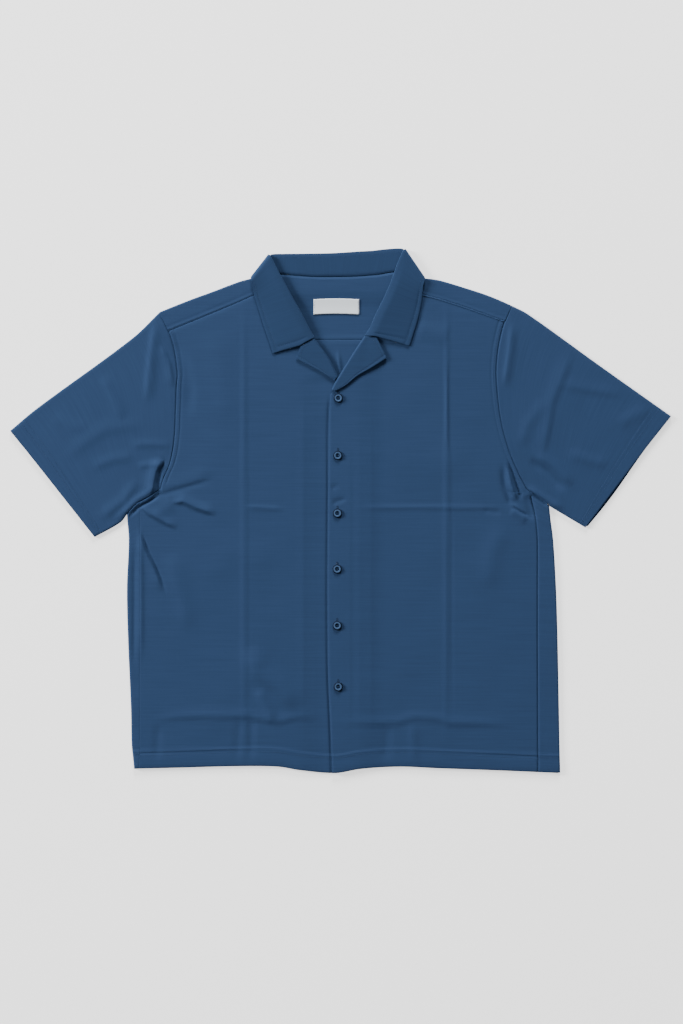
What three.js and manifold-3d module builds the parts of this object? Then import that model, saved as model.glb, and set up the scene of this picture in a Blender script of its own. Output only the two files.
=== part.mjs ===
// A boxy short-sleeved shirt with a camp collar, buttoned and laid flat on its back.
// Millimetres, +X to the wearer's left, +Y toward the collar, +Z up from the surface.
// Every cloth piece is a wall: its right side follows the tables, its wrong side lies behind.
import * as THREE from "three";
import { mergeVertices } from "three/addons/utils/BufferGeometryUtils.js";
import Module from "manifold-3d";

const wasm = await Module();
wasm.setup();

// Driving dimensions
const CLOTH = 1.2;
const HEM_CLOTH = 1.6;
const HEM_DEPTH = 25;
const SEAM_GAP = 0.3;
const ARMHOLE_GAP = 0.4;
const LAID_HEIGHT = 4.4;
const COLLAR_CLOTH = 1.8;
const COLLAR_HEIGHT = 10;
const LAPEL_PLY = 1;
const PLY_REST = 0.35;
const FACING_GAP = 0.42;
const FACING_CLOTH = 0.9;
const FACING_TURN_UNDER = 2.6;
const FACING_CLEARANCE = 1.3;
const PLY_TURN_UNDER = 7;
const UNDER_FRONT_DROP = 1;
const TOP_FRONT_RISE = 1.7;
const RISE_OVER_COLLAR = 1.6;
const YOKE_RISE = 2.2;
const BACK_HEIGHT = 599;
const BUTTON_RADIUS = 6.4;
const BUTTON_THICKNESS = 2.6;
const TURN_STEPS = 5;

// A table: one text names the columns, each list is a row.
function table(columns, ...rows) {
  const names = columns.split(" ");
  return rows.map((row) => Object.fromEntries(names.map((name, i) => [name, row[i]])));
}

// Body outline where the back panel rolls over at the sides, and the side seams on the front.
const bodySides = table(
  "y rightFold leftFold rightSeam leftSeam",
  [-368, -288.2, 307.5, -281.8, 276.5],
  [-344, -290.5, 307, -281.1, 276.5],
  [-328, -292.2, 306.6, -281, 276.4],
  [-276, -293.3, 305.7, -281, 276.3],
  [-176, -297.5, 303.8, -281, 275.9],
  [-108, -298.9, 301.7, -281, 275.9],
  [-41, -296.3, 297.7, -280.9, 275.8],
  [-8, -298.6, 293.6, -280.8, 272.6],
  [20, -298.8, 291.2, -280.7, 266],
  [300, -299, 291, -280.7, 266],
);

const hemLine = table(
  "x y",
  [-310, -361.6],
  [-288.4, -361.2],
  [-224.7, -359.8],
  [-142.7, -357.7],
  [-87.5, -358.4],
  [-56.7, -363.3],
  [-8, -367.3],
  [28.7, -361.4],
  [83.3, -358.4],
  [133.7, -360.5],
  [212.1, -363.3],
  [307.3, -367.3],
);

// Shoulders: the fold edge, and the seam where the yoke comes over to the front.
const shoulders = table(
  "x fold frontSeam",
  [-272, 270.1, 237.5],
  [-252.7, 277.9, 245.5],
  [-210.7, 294.7, 262.8],
  [-179.9, 305.9, 275.4],
  [-151.9, 316.6, 287.1],
  [-139.3, 321, 292.7],
  [-124, 325, 299.6],
  [-113, 330, 304.4],
  [-100, 334, 309.2],
  [0, 336, 330],
  [94, 334.5, 307],
  [106, 330, 304],
  [115.5, 325.4, 301],
  [128, 323.8, 297.8],
  [140.7, 321.6, 294.3],
  [174.3, 311.5, 283.5],
  [207.9, 300.3, 271.6],
  [238.7, 287, 260.6],
  [262, 275, 252],
);
const BACK_YOKE_SEAM_Y = 238.7;
const BEHIND_NECK_Y = 345;

// Where the back neck seam cuts the yoke, and the front neckline under the collar.
const backNeck = table(
  "x y",
  [-118.5, 328.9],
  [-101, 330.6],
  [-82.7, 330],
  [-37.9, 326.5],
  [17.1, 326.8],
  [53.6, 329.6],
  [75, 333],
  [92, 333.8],
  [109, 330],
);
const shoulderNeck = table(
  "x y",
  [-118.4, 329.5],
  [-111, 321],
  [-100, 308.2],
  [-96, 296],
  [86, 296],
  [94, 306.5],
  [103, 320.4],
  [109, 330.5],
);

// Armholes, from the shoulder point to the underarm bend, then out to the side of the body.
const armholes = {
  right: {
    seam: table("x y", [-252.7, 277.9], [-235.6, 236.3], [-228.3, 192.9], [-229.6, 173.7],
      [-230.9, 140], [-233.2, 96.6], [-239.3, 65.2], [-247.7, 45.9], [-252.7, 30.1]),
    beyond: table("x y", [-345, -36], [-345, 320], [-262, 301]),
    topFold: table("x y", [-252.7, 277.9], [-291.1, 241.2], [-426, 142], [-462.3, 111.6]),
    lowFold: table("x y", [-252.7, 30.1], [-266.7, 19.6], [-283.8, 9.8], [-298.3, -4.9],
      [-308, -16.8], [-344.1, -37.2]),
    cuff: table("x y", [-462.3, 111.6], [-431.5, 73.5], [-402.6, 37], [-344.1, -37.2]),
  },
  left: {
    seam: table("x y", [238.8, 287], [225.7, 250.9], [218.4, 205.1], [219.7, 164.1],
      [225.7, 120.7], [236.5, 82], [247.4, 55.6], [260.5, 30.2]),
    beyond: table("x y", [345, -24], [345, 320], [248, 312]),
    topFold: table("x y", [238.8, 287], [261.8, 275.1], [361, 204], [462.6, 132]),
    lowFold: table("x y", [260.5, 30.2], [275.5, 18], [290.8, 8.5], [342.6, -23.9]),
    cuff: table("x y", [462.6, 132], [422, 80.5], [342.6, -23.9]),
  },
};

// Front edges: the overlap at the buttons, the turned lapel, then the neckline.
const frontEdges = {
  right: table("y x", [-370, 7], [160, 7], [172, 3], [180, -1.5], [188.3, -6.9], [212.1, -19.4],
    [237, -37], [238.6, -39], [241.2, -50], [243.8, -52], [253.5, -60], [272.5, -72],
    [291, -86], [308.5, -100], [320, -109]),
  left: table("y x", [-370, -11.4], [-297.5, -14], [-224, -16.9], [-105.7, -17.8], [11.9, -16.9],
    [159, -14.7], [164, -13.6], [168, -7.4], [172, -6.2], [186.5, 0.6], [210.3, 14.5], [235.9, 31],
    [239, 35.5], [241.6, 48.4], [244.5, 50.6], [256, 58], [271, 67.1], [289, 79.6],
    [309.5, 94.2], [320, 101]),
};

// Lapels: the roll edge and the lower edge, both upward, and the notch between them at the top.
const lapels = {
  right: {
    roll: table("x y", [-4, 187.8], [-16, 212.1], [-34.2, 237.7], [-36.6, 241]),
    lower: table("x y", [-8.2, 181.6], [-23.2, 191.9], [-45.2, 203.8], [-61.7, 211.8]),
    notch: { x: -55.9, y: 229.6 },
  },
  left: {
    roll: table("x y", [-12.2, 169.5], [-8.5, 177.4], [-3.1, 186.5], [11.5, 210.3],
      [28, 235.9], [33.2, 243.4]),
    lower: table("x y", [-8.2, 166.8], [7.8, 175.6], [22.5, 187.5], [44.5, 200.2], [64.7, 213.1]),
    notch: { x: 50.8, y: 241.8 },
  },
};

// Collar, front rows from the leaf's short edge up, back rows across; fall is the leaf's rise.
const collarLeaves = {
  right: table(
    "neckX neckY rollX rollY edgeX edgeY fall",
    [-49.6, 242.2, -36.2, 242.4, -94.6, 219.8, 2.2],
    [-58, 254, -43.2, 254, -100.2, 237, 2.8],
    [-71, 273, -54, 275, -107.5, 258, 3.6],
    [-84.6, 291, -68, 300, -115.6, 284, 4.4],
    [-98.6, 308.5, -82, 326, -121.5, 304, 4.9],
    [-109.5, 322, -91.5, 344, -123.8, 314, 5],
  ),
  left: table(
    "neckX neckY rollX rollY edgeX edgeY fall",
    [47.6, 245.6, 34, 245.3, 96.6, 230, 3.4],
    [56.4, 256.6, 40.6, 255, 102, 247, 3.8],
    [65.8, 271.4, 48.5, 273.5, 107.5, 264.5, 4.3],
    [78.2, 289.4, 60, 296.5, 112, 283, 4.6],
    [92.8, 310, 71.5, 323, 114.7, 302, 4.9],
    [101.8, 322, 79.5, 346, 115.6, 314, 5],
  ),
};
const collarNotches = { right: { x: -56.2, y: 230.6 }, left: { x: 51.2, y: 242.9 } };
const collarSideFolds = {
  right: { top: { x: -102.9, y: 355.9 }, low: { x: -123.5, y: 329.5 } },
  left: { top: { x: 92.1, y: 363 }, low: { x: 115.8, y: 329.5 } },
};
const collarBack = table(
  "neckX neckY rollX rollY edgeX edgeY",
  [-106, 331.2, -97, 358.4, -112, 315],
  [-83, 330.7, -80, 359.2, -86, 313.5],
  [-60, 328.9, -62, 359.4, -63, 313],
  [-38, 327.3, -45, 359.6, -40, 313],
  [-10, 327.4, -8.5, 360.4, -10, 313],
  [17.1, 327.6, 25, 362.6, 24, 313.3],
  [36, 328.8, 44, 363.6, 44, 313.6],
  [53.6, 330.4, 60, 365.5, 62, 314],
  [75, 333.8, 82, 366.9, 86, 315],
  [97, 334.4, 88.5, 365.4, 105, 317],
);

// Largest folds of the upper layer: soft ridges, and troughs where the height is negative.
const folds = table(
  "x0 y0 x1 y1 width height",
  [-280, 3, -231, -25.5, 7, 3.2],
  [-258, -1, -228, 9, 6, 2],
  [-222, 9, -176, -8, 10, 1.6],
  [-244, 60, -204, 32, 9, 2.2],
  [-250, 66, -251, 34, 5, -1.1],
  [-270, -44, -238, -115, 8, 1.8],
  [-235, 248, -210, 171, 12, -0.9],
  [-131, -192, -60, -280, 14, 1.7],
  [-117, -253, -93, -294, 8, 1.2],
  [-262, 262, -270, 152, 12, 1.9],
  [-327, 183, -305, 130, 14, 1.5],
  [-380, 77, -277, 121, 14, 1.9],
  [-332, -6, -286, 41, 9, 2.2],
  [-286, 91, -240, 91, 8, 1.5],
  [322, 219, 281, 75, 13, 1.7],
  [308, 176, 389, 164, 12, 1.3],
  [390, 121, 428, 142, 12, 1.2],
  [262, 72, 317, 27, 8, 2.2],
  [322, 80, 370, 65, 10, 1.3],
  [237, 62, 253, 12, 5, -1.1],
  [224, 48, 240, 2, 6, 1.6],
  [243, 4, 262, -9, 6, 1.3],
  [106, 255, 153, 243, 12, 0.9],
);

const buttonPlaces = table(
  "x y",
  [-3.1, 157.2],
  [-3.8, 76.9],
  [-4.3, -3.8],
  [-4.6, -81.9],
  [-4.6, -160.9],
  [-3.1, -246.4],
);
const labelSheet = { x0: -38.2, x1: 27.2, y0: 274, y1: 295.4, tape: 0.6 };

const { smoothstep, lerp, degToRad } = THREE.MathUtils;
const point = (x, y, z = 0) => new THREE.Vector3(x, y, z);
const spread = (from, to, count) => Array.from({ length: count + 1 }, (_, k) => lerp(from, to, k / count));

// A smooth function through a table's rows, from one column to another.
function reading(rows, from, to) {
  const known = rows.map((row) => row[from]);
  const wanted = rows.map((row) => row[to]);
  const last = rows.length - 1;
  const slope = (a, b) => (wanted[b] - wanted[a]) / (known[b] - known[a]);
  const slopes = known.map((_, i) => slope(Math.max(i - 1, 0), Math.min(i + 1, last)));
  return (value) => {
    const found = known.findIndex((start) => start > value);
    const i = THREE.MathUtils.clamp((found < 0 ? last : found) - 1, 0, last - 1);
    const span = known[i + 1] - known[i];
    const s = THREE.MathUtils.clamp((value - known[i]) / span, 0, 1);
    const start = (1 + 2 * s) * (1 - s) ** 2 * wanted[i] + s * (1 - s) ** 2 * span * slopes[i];
    return start + s * s * (3 - 2 * s) * wanted[i + 1] + s * s * (s - 1) * span * slopes[i + 1];
  };
}

// A smooth curve in plan through a table's x and y.
function planCurve(rows) {
  return new THREE.CatmullRomCurve3(rows.map((row) => point(row.x, row.y)), false, "centripetal");
}

const hemY = reading(hemLine, "x", "y");
const shoulderY = reading(shoulders, "x", "fold");
const yokeSeamY = reading(shoulders, "x", "frontSeam");

// How far the folds lift the upper layer at a place; further off than the reach they don't.
const FOLD_REACH = 60;
function foldHeight(x, y) {
  return folds.reduce((sum, fold) => {
    const along = { x: fold.x1 - fold.x0, y: fold.y1 - fold.y0 };
    const length2 = along.x ** 2 + along.y ** 2;
    const share = ((x - fold.x0) * along.x + (y - fold.y0) * along.y) / length2;
    const s = THREE.MathUtils.clamp(share, 0, 1);
    const away = Math.hypot(x - fold.x0 - s * along.x, y - fold.y0 - s * along.y);
    return away > FOLD_REACH ? sum : sum + fold.height * Math.exp(-((away / fold.width) ** 2));
  }, 0);
}

// Outer height of the upper layer: it rises over the collar's lower ply near the neck.
function upperHeight(x, y) {
  const ring = Math.hypot((x + 4) / 108, (y - 335) / 60);
  return LAID_HEIGHT + RISE_OVER_COLLAR * (1 - smoothstep(ring, 0.95, 1.4)) + foldHeight(x, y);
}

// The two fronts part in height where they overlap at the buttons.
const frontHeights = {
  right: (x, y) => {
    const underLapel = 1 - 0.6 * smoothstep(y, 182, 188);
    return upperHeight(x, y) - UNDER_FRONT_DROP * smoothstep(x, -60, -24) * underLapel;
  },
  left: (x, y) => upperHeight(x, y) + TOP_FRONT_RISE * (1 - smoothstep(x, 22, 62)),
};

// The yoke lies on the surface, and rises over the collar's fall at the back of the neck.
function yokeFloor(x, y) {
  return YOKE_RISE * (1 - smoothstep(Math.abs(x + 4), 120, 152)) * smoothstep(y, 281, 309);
}

// A closed wall from the right side's rows of points; a ring closes on itself across.
function wall(rows, thickness, { ring = false, turned = false } = {}) {
  const count = rows.length;
  const width = rows[0].length;
  const thick = typeof thickness === "function" ? thickness : () => thickness;
  const cell = (i, j) => i * width + j;
  const step = (from, to) => to.clone().sub(from).normalize();
  const across = (i, j) => {
    const before = ring ? (j + width - 1) % width : Math.max(j - 1, 0);
    const after = ring ? (j + 1) % width : Math.min(j + 1, width - 1);
    return step(rows[i][before], rows[i][j]).add(step(rows[i][j], rows[i][after]));
  };
  const along = (i, j) =>
    step(rows[Math.max(i - 1, 0)][j], rows[i][j]).add(step(rows[i][j], rows[Math.min(i + 1, count - 1)][j]));
  const face = [];
  const back = [];
  rows.forEach((row, i) =>
    row.forEach((place, j) => {
      const inward = across(i, j).cross(along(i, j)).normalize().multiplyScalar(turned ? -1 : 1);
      face.push(place);
      back.push(place.clone().addScaledVector(inward, thick(i, j)));
    }),
  );
  const size = count * width;
  const triangles = [];
  const quad = (a, b, c, d) => triangles.push(a, b, c, a, c, d);
  const spans = ring ? width : width - 1;
  for (let i = 0; i < count - 1; i += 1) {
    for (let j = 0; j < spans; j += 1) {
      const next = (j + 1) % width;
      quad(cell(i, j), cell(i, next), cell(i + 1, next), cell(i + 1, j));
      quad(size + cell(i, j), size + cell(i + 1, j), size + cell(i + 1, next), size + cell(i, next));
    }
  }
  for (let j = 0; j < spans; j += 1) {
    const next = (j + 1) % width;
    const end = count - 1;
    quad(cell(0, next), cell(0, j), size + cell(0, j), size + cell(0, next));
    quad(cell(end, j), cell(end, next), size + cell(end, next), size + cell(end, j));
  }
  for (let i = 0; i < count - 1 && !ring; i += 1) {
    const end = width - 1;
    quad(cell(i, 0), cell(i + 1, 0), size + cell(i + 1, 0), size + cell(i, 0));
    quad(cell(i + 1, end), cell(i, end), size + cell(i, end), size + cell(i + 1, end));
  }
  return facingOut([...face, ...back], triangles);
}

// A geometry with its faces turned outward.
function facingOut(places, triangles) {
  let volume = 0;
  for (let k = 0; k < triangles.length; k += 3) {
    const [a, b, c] = [0, 1, 2].map((m) => places[triangles[k + m]]);
    volume += a.dot(b.clone().cross(c));
  }
  const geometry = new THREE.BufferGeometry().setFromPoints(places);
  geometry.setIndex(volume < 0 ? [...triangles].reverse() : triangles);
  return geometry;
}

function solidOf(geometry) {
  const bare = geometry.clone();
  bare.deleteAttribute("normal");
  bare.deleteAttribute("uv");
  const merged = mergeVertices(bare, 1e-4);
  const vertProperties = new Float32Array(merged.attributes.position.array);
  const triVerts = new Uint32Array(merged.index.array);
  return new wasm.Manifold(new wasm.Mesh({ numProp: 3, vertProperties, triVerts }));
}

function geometryOf(solid) {
  const mesh = solid.getMesh();
  const geometry = new THREE.BufferGeometry();
  geometry.setAttribute("position", new THREE.BufferAttribute(new Float32Array(mesh.vertProperties), 3));
  geometry.setIndex(new THREE.BufferAttribute(new Uint32Array(mesh.triVerts), 1));
  return geometry;
}

// An upright cutter over an outline in plan, through all layers unless it starts higher.
const CUT_FROM = -5;
const CUT_TO = 40;
function cutter(outline, low = CUT_FROM) {
  const shape = new THREE.Shape(outline.map((place) => new THREE.Vector2(place.x, place.y)));
  const geometry = new THREE.ExtrudeGeometry(shape, { depth: CUT_TO - low, bevelEnabled: false });
  geometry.translate(0, 0, low);
  return solidOf(geometry);
}

const without = (geometry, ...cutters) =>
  geometryOf(cutters.reduce((solid, tool) => solid.subtract(tool), solidOf(geometry)));

// Shares of the way down an armhole where a sleeve's points lie.
const ARMHOLE_SHARES = [0, ...spread(0.04, 0.96, 13), 1];

// Shares of a sleeve's length where its sections lie, close together at the hem.
function sleeveSections(topFold) {
  const length = planCurve(topFold).getLength();
  const hem = 1 - HEM_DEPTH / length;
  return [...spread(0, hem - 0.06, 10), hem - 1.5 / length, hem, 1];
}

// The armhole's outline in plan, moved toward the body by the seam gap.
function armholeCutter({ seam, topFold, lowFold, beyond }) {
  const underarm = sleeveSections(topFold).slice(1, 9);
  const lowEdge = planCurve(lowFold);
  const armhole = planCurve(seam);
  const inner = [
    ...ARMHOLE_SHARES.map((down) => armhole.getPointAt(down)),
    ...underarm.map((out) => lowEdge.getPointAt(out)),
  ];
  const toBody = Math.sign(-seam[0].x);
  const moved = inner.map((place, i) => {
    const before = inner[Math.max(i - 1, 0)];
    const after = inner[Math.min(i + 1, inner.length - 1)];
    const normal = new THREE.Vector2(before.y - after.y, after.x - before.x).normalize();
    return new THREE.Vector2(place.x, place.y).addScaledVector(normal, toBody * ARMHOLE_GAP);
  });
  return cutter([...moved, ...beyond]);
}
const armholeCutters = [armholeCutter(armholes.right), armholeCutter(armholes.left)];

// Points round a folded edge, from the upper layer over to the lower one.
function foldTurn(edge, inward, top, bottom) {
  const radius = (top - bottom) / 2;
  const middle = edge.clone().addScaledVector(inward, radius).setZ((top + bottom) / 2);
  return Array.from({ length: TURN_STEPS + 1 }, (_, k) => {
    const angle = degToRad(90 - (180 * k) / TURN_STEPS);
    const place = middle.clone().addScaledVector(inward, -radius * Math.cos(angle));
    return place.setZ(middle.z + radius * Math.sin(angle));
  });
}

// Heights of the back's rows over the hem, close together where the side folds end.
const BACK_ROWS = [0, HEM_DEPTH, HEM_DEPTH + 1.5, ...spread(62, 272, 4), ...spread(294, 378, 7), 420, 510,
  BACK_HEIGHT];

// Back panel: flat below, rolled over at both sides as far as the side seams on the front.
function backPanel() {
  const edges = Object.fromEntries(
    ["rightFold", "leftFold", "rightSeam", "leftSeam"].map((name) => [name, reading(bodySides, "y", name)]),
  );
  const top = BACK_YOKE_SEAM_Y - SEAM_GAP;
  const rows = BACK_ROWS.map((rise) => {
    const share = rise / BACK_HEIGHT;
    const level = (x) => lerp(hemY(x), top, share);
    const layer = (x) => point(x, level(x), upperHeight(x, level(x)));
    const y = level(0);
    const right = edges.rightFold(y);
    const left = edges.leftFold(y);
    const wrapRight = spread(edges.rightSeam(y) - SEAM_GAP / 2, right + 5, 2).map(layer);
    const wrapLeft = spread(left - 5, edges.leftSeam(y) + SEAM_GAP / 2, 3).map(layer);
    const rightEdge = point(right, level(right));
    const leftEdge = point(left, level(left));
    return [
      ...wrapRight,
      ...foldTurn(rightEdge, point(1, 0), upperHeight(right, rightEdge.y), 0),
      ...spread(right + 12, left - 12, 7).map((x) => point(x, level(x))),
      ...foldTurn(leftEdge, point(-1, 0), upperHeight(left, leftEdge.y), 0).reverse(),
      ...wrapLeft,
    ];
  });
  const thick = (i) => (i < 2 ? HEM_CLOTH : CLOTH);
  return without(wall(rows, thick), ...armholeCutters);
}

// Places across the yoke where its sections lie, close together beside the neck.
const YOKE_COLUMNS = [...spread(-268, -140, 6), -128, -118, -109, -100, ...spread(-84, 76, 8), 88, 97, 106,
  118, ...spread(130, 258, 6)];

// Yoke: flat behind the shoulders, rolled over their edges as far as the front yoke seams.
function yoke() {
  const rows = YOKE_COLUMNS.map((x) => {
    const seam = yokeSeamY(x) + SEAM_GAP / 2;
    const fold = shoulderY(x);
    const flap = spread(seam, Math.max(fold - 5, seam + 1), 3);
    return [
      ...flap.map((y) => point(x, y, upperHeight(x, y))),
      ...foldTurn(point(x, fold), point(0, -1), upperHeight(x, fold), yokeFloor(x, fold)),
      ...spread(fold - 6, BACK_YOKE_SEAM_Y, 6).map((y) => point(x, y, yokeFloor(x, y))),
    ];
  });
  const behind = [{ x: 110.5, y: BEHIND_NECK_Y }, { x: -120, y: BEHIND_NECK_Y }];
  const upperLayerOnly = LAID_HEIGHT - SEAM_GAP;
  const overBack = cutter([...backNeck, ...behind]);
  const overFront = cutter([...shoulderNeck, ...behind], upperLayerOnly);
  return without(wall(rows, CLOTH), overBack, overFront, ...armholeCutters);
}

// Shape of a turned lapel in plan: 0 to 1 up the roll edge, 0 to 1 across to the outer edge.
function lapelPlan({ roll, lower, notch }) {
  const rollEdge = planCurve(roll);
  const lowerEdge = planCurve(lower);
  const [top, tip] = [rollEdge.getPointAt(1), lowerEdge.getPointAt(1)];
  const corner = point(notch.x, notch.y);
  const bend = top.distanceTo(corner) / (top.distanceTo(corner) + corner.distanceTo(tip));
  const topEdge = (across) =>
    across < bend
      ? top.clone().lerp(corner, across / bend)
      : corner.clone().lerp(tip, (across - bend) / (1 - bend));
  return (up, across) => {
    const straight = top.clone().lerp(tip, across);
    const kink = topEdge(across).sub(straight).multiplyScalar(up ** 3);
    return rollEdge.getPointAt(up).lerp(lowerEdge.getPointAt(up), across).add(kink);
  };
}

const LAPEL_ROWS = 7;
const LAPEL_SHARES = [0.25, 0.5, 0.75, 1];

// One ply of a turned lapel: under the roll edge, round it, and out to the lapel's edge.
function lapelPly(side, { under, inset, below, above, reach }) {
  const plan = lapelPlan(lapels[side]);
  const height = frontHeights[side];
  const radius = (above - below) / 2;
  return spread(0, 1, LAPEL_ROWS).map((up) => {
    const edge = plan(up, 0);
    const outward = plan(up, 1).sub(edge).normalize();
    const base = height(edge.x, edge.y);
    const middle = edge.clone().addScaledVector(outward, inset + radius).setZ(base + (below + above) / 2);
    const turn = spread(-90, 90, TURN_STEPS).map((degrees) => {
      const angle = degToRad(degrees);
      const place = middle.clone().addScaledVector(outward, -radius * Math.cos(angle));
      return place.setZ(middle.z + radius * Math.sin(angle));
    });
    const start = edge.clone().addScaledVector(outward, under).setZ(base + below);
    const first = Math.min((inset + radius) / plan(up, 1).distanceTo(edge), 0.85);
    const leaf = LAPEL_SHARES.map((share) => {
      const place = plan(up, lerp(first, reach, share));
      return place.setZ(Math.max(height(place.x, place.y), base - 0.4) + above);
    });
    return [start, ...turn, ...leaf];
  });
}

// Rows of the fronts: heights over the hem, then places up the front edge beside the neck.
const FRONT_ROWS = [0, HEM_DEPTH, HEM_DEPTH + 1.5, ...spread(66, 290, 6), ...spread(314, 458, 12), 484, 508,
  532];
const NECK_ROWS = [175, 183, 190, 210, 228, 238.8, 241.4, 244.2, 254, 272, 290, 309];
const FRONT_COLUMNS = [...spread(0, 0.26, 8), ...spread(0.36, 0.92, 5), 1];

// A front panel, with the ply of its lapel that turns back over the roll edge.
function frontPanel(side) {
  const sideOfBody = side === "left" ? 1 : -1;
  const seamX = reading(bodySides, "y", `${side}Seam`);
  const edgeX = reading(frontEdges[side], "y", "x");
  const height = frontHeights[side];
  const foot = hemY(edgeX(-366));
  const edgeHeights = [...FRONT_ROWS.map((rise) => foot + rise), ...NECK_ROWS];
  const seamY = (x) => yokeSeamY(x) - SEAM_GAP / 2;
  const rows = edgeHeights.map((edgeY, i) => {
    const inner = edgeX(edgeY);
    const rise = i === edgeHeights.length - 1 ? 1 : (edgeY - hemY(inner)) / (seamY(inner) - hemY(inner));
    const level = (x) => lerp(hemY(x), seamY(x), Math.max(rise, 0));
    let outer = seamX(edgeY);
    for (let pass = 0; pass < 4; pass += 1) outer = seamX(level(outer)) - sideOfBody * SEAM_GAP;
    return FRONT_COLUMNS.map((share) => {
      const x = lerp(outer, inner, share);
      return point(x, level(x), height(x, level(x)));
    });
  });
  const thick = (i) => (i < 2 ? HEM_CLOTH : CLOTH);
  const panel = wall(rows, thick, { turned: side === "right" });
  const inset = FACING_CLEARANCE + LAPEL_PLY;
  const ply = lapelPly(side, { under: PLY_TURN_UNDER, inset, below: -0.1, above: PLY_REST, reach: 0.985 });
  const turnedBack = wall(ply, LAPEL_PLY, { turned: side === "right" });
  const solid = armholeCutters.reduce((body, tool) => body.subtract(tool), solidOf(panel));
  return geometryOf(solid.add(solidOf(turnedBack)));
}

// The facing that shows on a turned lapel, from just inside the roll edge.
function lapelFacing(side) {
  const above = PLY_REST + LAPEL_PLY + FACING_GAP + FACING_CLOTH;
  const below = -CLOTH - FACING_GAP - FACING_CLOTH;
  const rows = lapelPly(side, { under: FACING_TURN_UNDER, inset: 0, below, above, reach: 1 });
  return wall(rows, FACING_CLOTH, { turned: side === "left" });
}

// A sleeve: a flattened tube from the armhole to the open cuff.
function sleeve({ seam, topFold, lowFold, cuff }, turned) {
  const [armhole, end, upper, lower] = [seam, cuff, topFold, lowFold].map(planCurve);
  const corners = [armhole.getPointAt(0), armhole.getPointAt(1), end.getPointAt(0), end.getPointAt(1)];
  const plan = (out, down) => {
    const ruled = armhole.getPointAt(down).lerp(end.getPointAt(down), out);
    const sides = upper.getPointAt(out).lerp(lower.getPointAt(out), down);
    const nearCorners = corners[0].clone().lerp(corners[1], down);
    const farCorners = corners[2].clone().lerp(corners[3], down);
    return ruled.add(sides).sub(nearCorners.lerp(farCorners, out));
  };
  const rows = sleeveSections(topFold).map((out) => {
    const layer = (down) => {
      const place = plan(out, down);
      return place.setZ(upperHeight(place.x, place.y));
    };
    const turn = (down, near) => {
      const edge = plan(out, down);
      const inward = plan(out, near).sub(edge).normalize();
      return foldTurn(edge, inward, upperHeight(edge.x, edge.y), 0);
    };
    return [
      ...turn(0, 0.03).reverse(),
      ...ARMHOLE_SHARES.slice(1, -1).map(layer),
      ...turn(1, 0.97),
      ...spread(0.94, 0.06, 5).map((down) => plan(out, down)),
    ];
  });
  const thick = (i) => (i >= rows.length - 2 ? HEM_CLOTH : CLOTH);
  return wall(rows, thick, { ring: true, turned });
}

const COLLAR_MIDDLE = COLLAR_HEIGHT / 2;
const COLLAR_BASE = point(0, 0, COLLAR_MIDDLE);
const STAND_CLEARANCE = 0.7;

// Points of the collar's right side in one section: up the stand, over the roll, down the fall.
function collarSection({ neck, roll, edge, fall, axis, edgeRise, notch }) {
  const stand = fall - (COLLAR_MIDDLE - STAND_CLEARANCE);
  const radius = (fall - stand) / 2;
  const lift = (place, rise) => place.clone().addScaledVector(axis, rise).add(COLLAR_BASE);
  const inward = neck.clone().add(edge).multiplyScalar(0.5).sub(roll).normalize();
  const middle = roll.clone().addScaledVector(inward, radius);
  const turn = spread(-90, 90, TURN_STEPS).map((degrees) => {
    const angle = degToRad(degrees);
    const place = middle.clone().addScaledVector(inward, -radius * Math.cos(angle));
    return lift(place, stand + radius + radius * Math.sin(angle));
  });
  const standLeg = [0, 0.45].map((s) => lift(neck.clone().lerp(middle, s), stand));
  const via = notch ?? middle.clone().lerp(edge, 0.34);
  const fallLeg = [via, via.clone().lerp(edge, 0.5), edge];
  const rises = [0.3, 0.66, 1].map((s) => lerp(fall, edgeRise ?? fall, s));
  return [...standLeg, ...turn, ...fallLeg.map((place, k) => lift(place, rises[k]))];
}

// The leaf that shows beside the neck, where the fall lies on top.
function leafSections(side) {
  const height = frontHeights[side];
  const notch = point(collarNotches[side].x, collarNotches[side].y);
  return collarLeaves[side].map((row, i) => {
    const onFront = height(row.edgeX, row.edgeY) + SEAM_GAP + COLLAR_CLOTH;
    const settled = lerp(onFront - COLLAR_MIDDLE, row.fall, smoothstep(i, 3, 6));
    return collarSection({
      neck: point(row.neckX, row.neckY),
      roll: point(row.rollX, row.rollY),
      edge: point(row.edgeX, row.edgeY),
      fall: row.fall,
      axis: point(0, 0, 1),
      edgeRise: settled,
      notch: i === 0 ? notch : undefined,
    });
  });
}

// The side of the neck, where the whole band turns over from the back to the leaf.
function sideFoldSections(side) {
  const { top, low } = collarSideFolds[side];
  const start = point(top.x, top.y);
  const down = point(low.x, low.y).sub(start);
  const inward = point(-down.y, down.x).normalize();
  inward.multiplyScalar(Math.sign(inward.x) * Math.sign(-top.x));
  return [90, 45, 0, -45, -90].map((degrees) => {
    const angle = degToRad(degrees);
    const axis = inward.clone().multiplyScalar(-Math.cos(angle)).setZ(Math.sin(angle));
    const corner = start.clone().addScaledVector(inward, COLLAR_MIDDLE);
    const along = (share) => corner.clone().addScaledVector(down, share);
    return collarSection({
      neck: along(0.9),
      roll: along(0),
      edge: along(lerp(0.92, 1.2, (degrees + 90) / 180)),
      fall: COLLAR_MIDDLE,
      axis,
    });
  });
}

function collar() {
  const back = collarBack.map((row) =>
    collarSection({
      neck: point(row.neckX, row.neckY),
      roll: point(row.rollX, row.rollY),
      edge: point(row.edgeX, row.edgeY),
      fall: COLLAR_MIDDLE,
      axis: point(0, 0, -1),
    }),
  );
  const rows = [
    ...leafSections("right"),
    ...sideFoldSections("right"),
    ...back,
    ...sideFoldSections("left").reverse(),
    ...leafSections("left").reverse(),
  ];
  return wall(rows, COLLAR_CLOTH);
}

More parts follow.
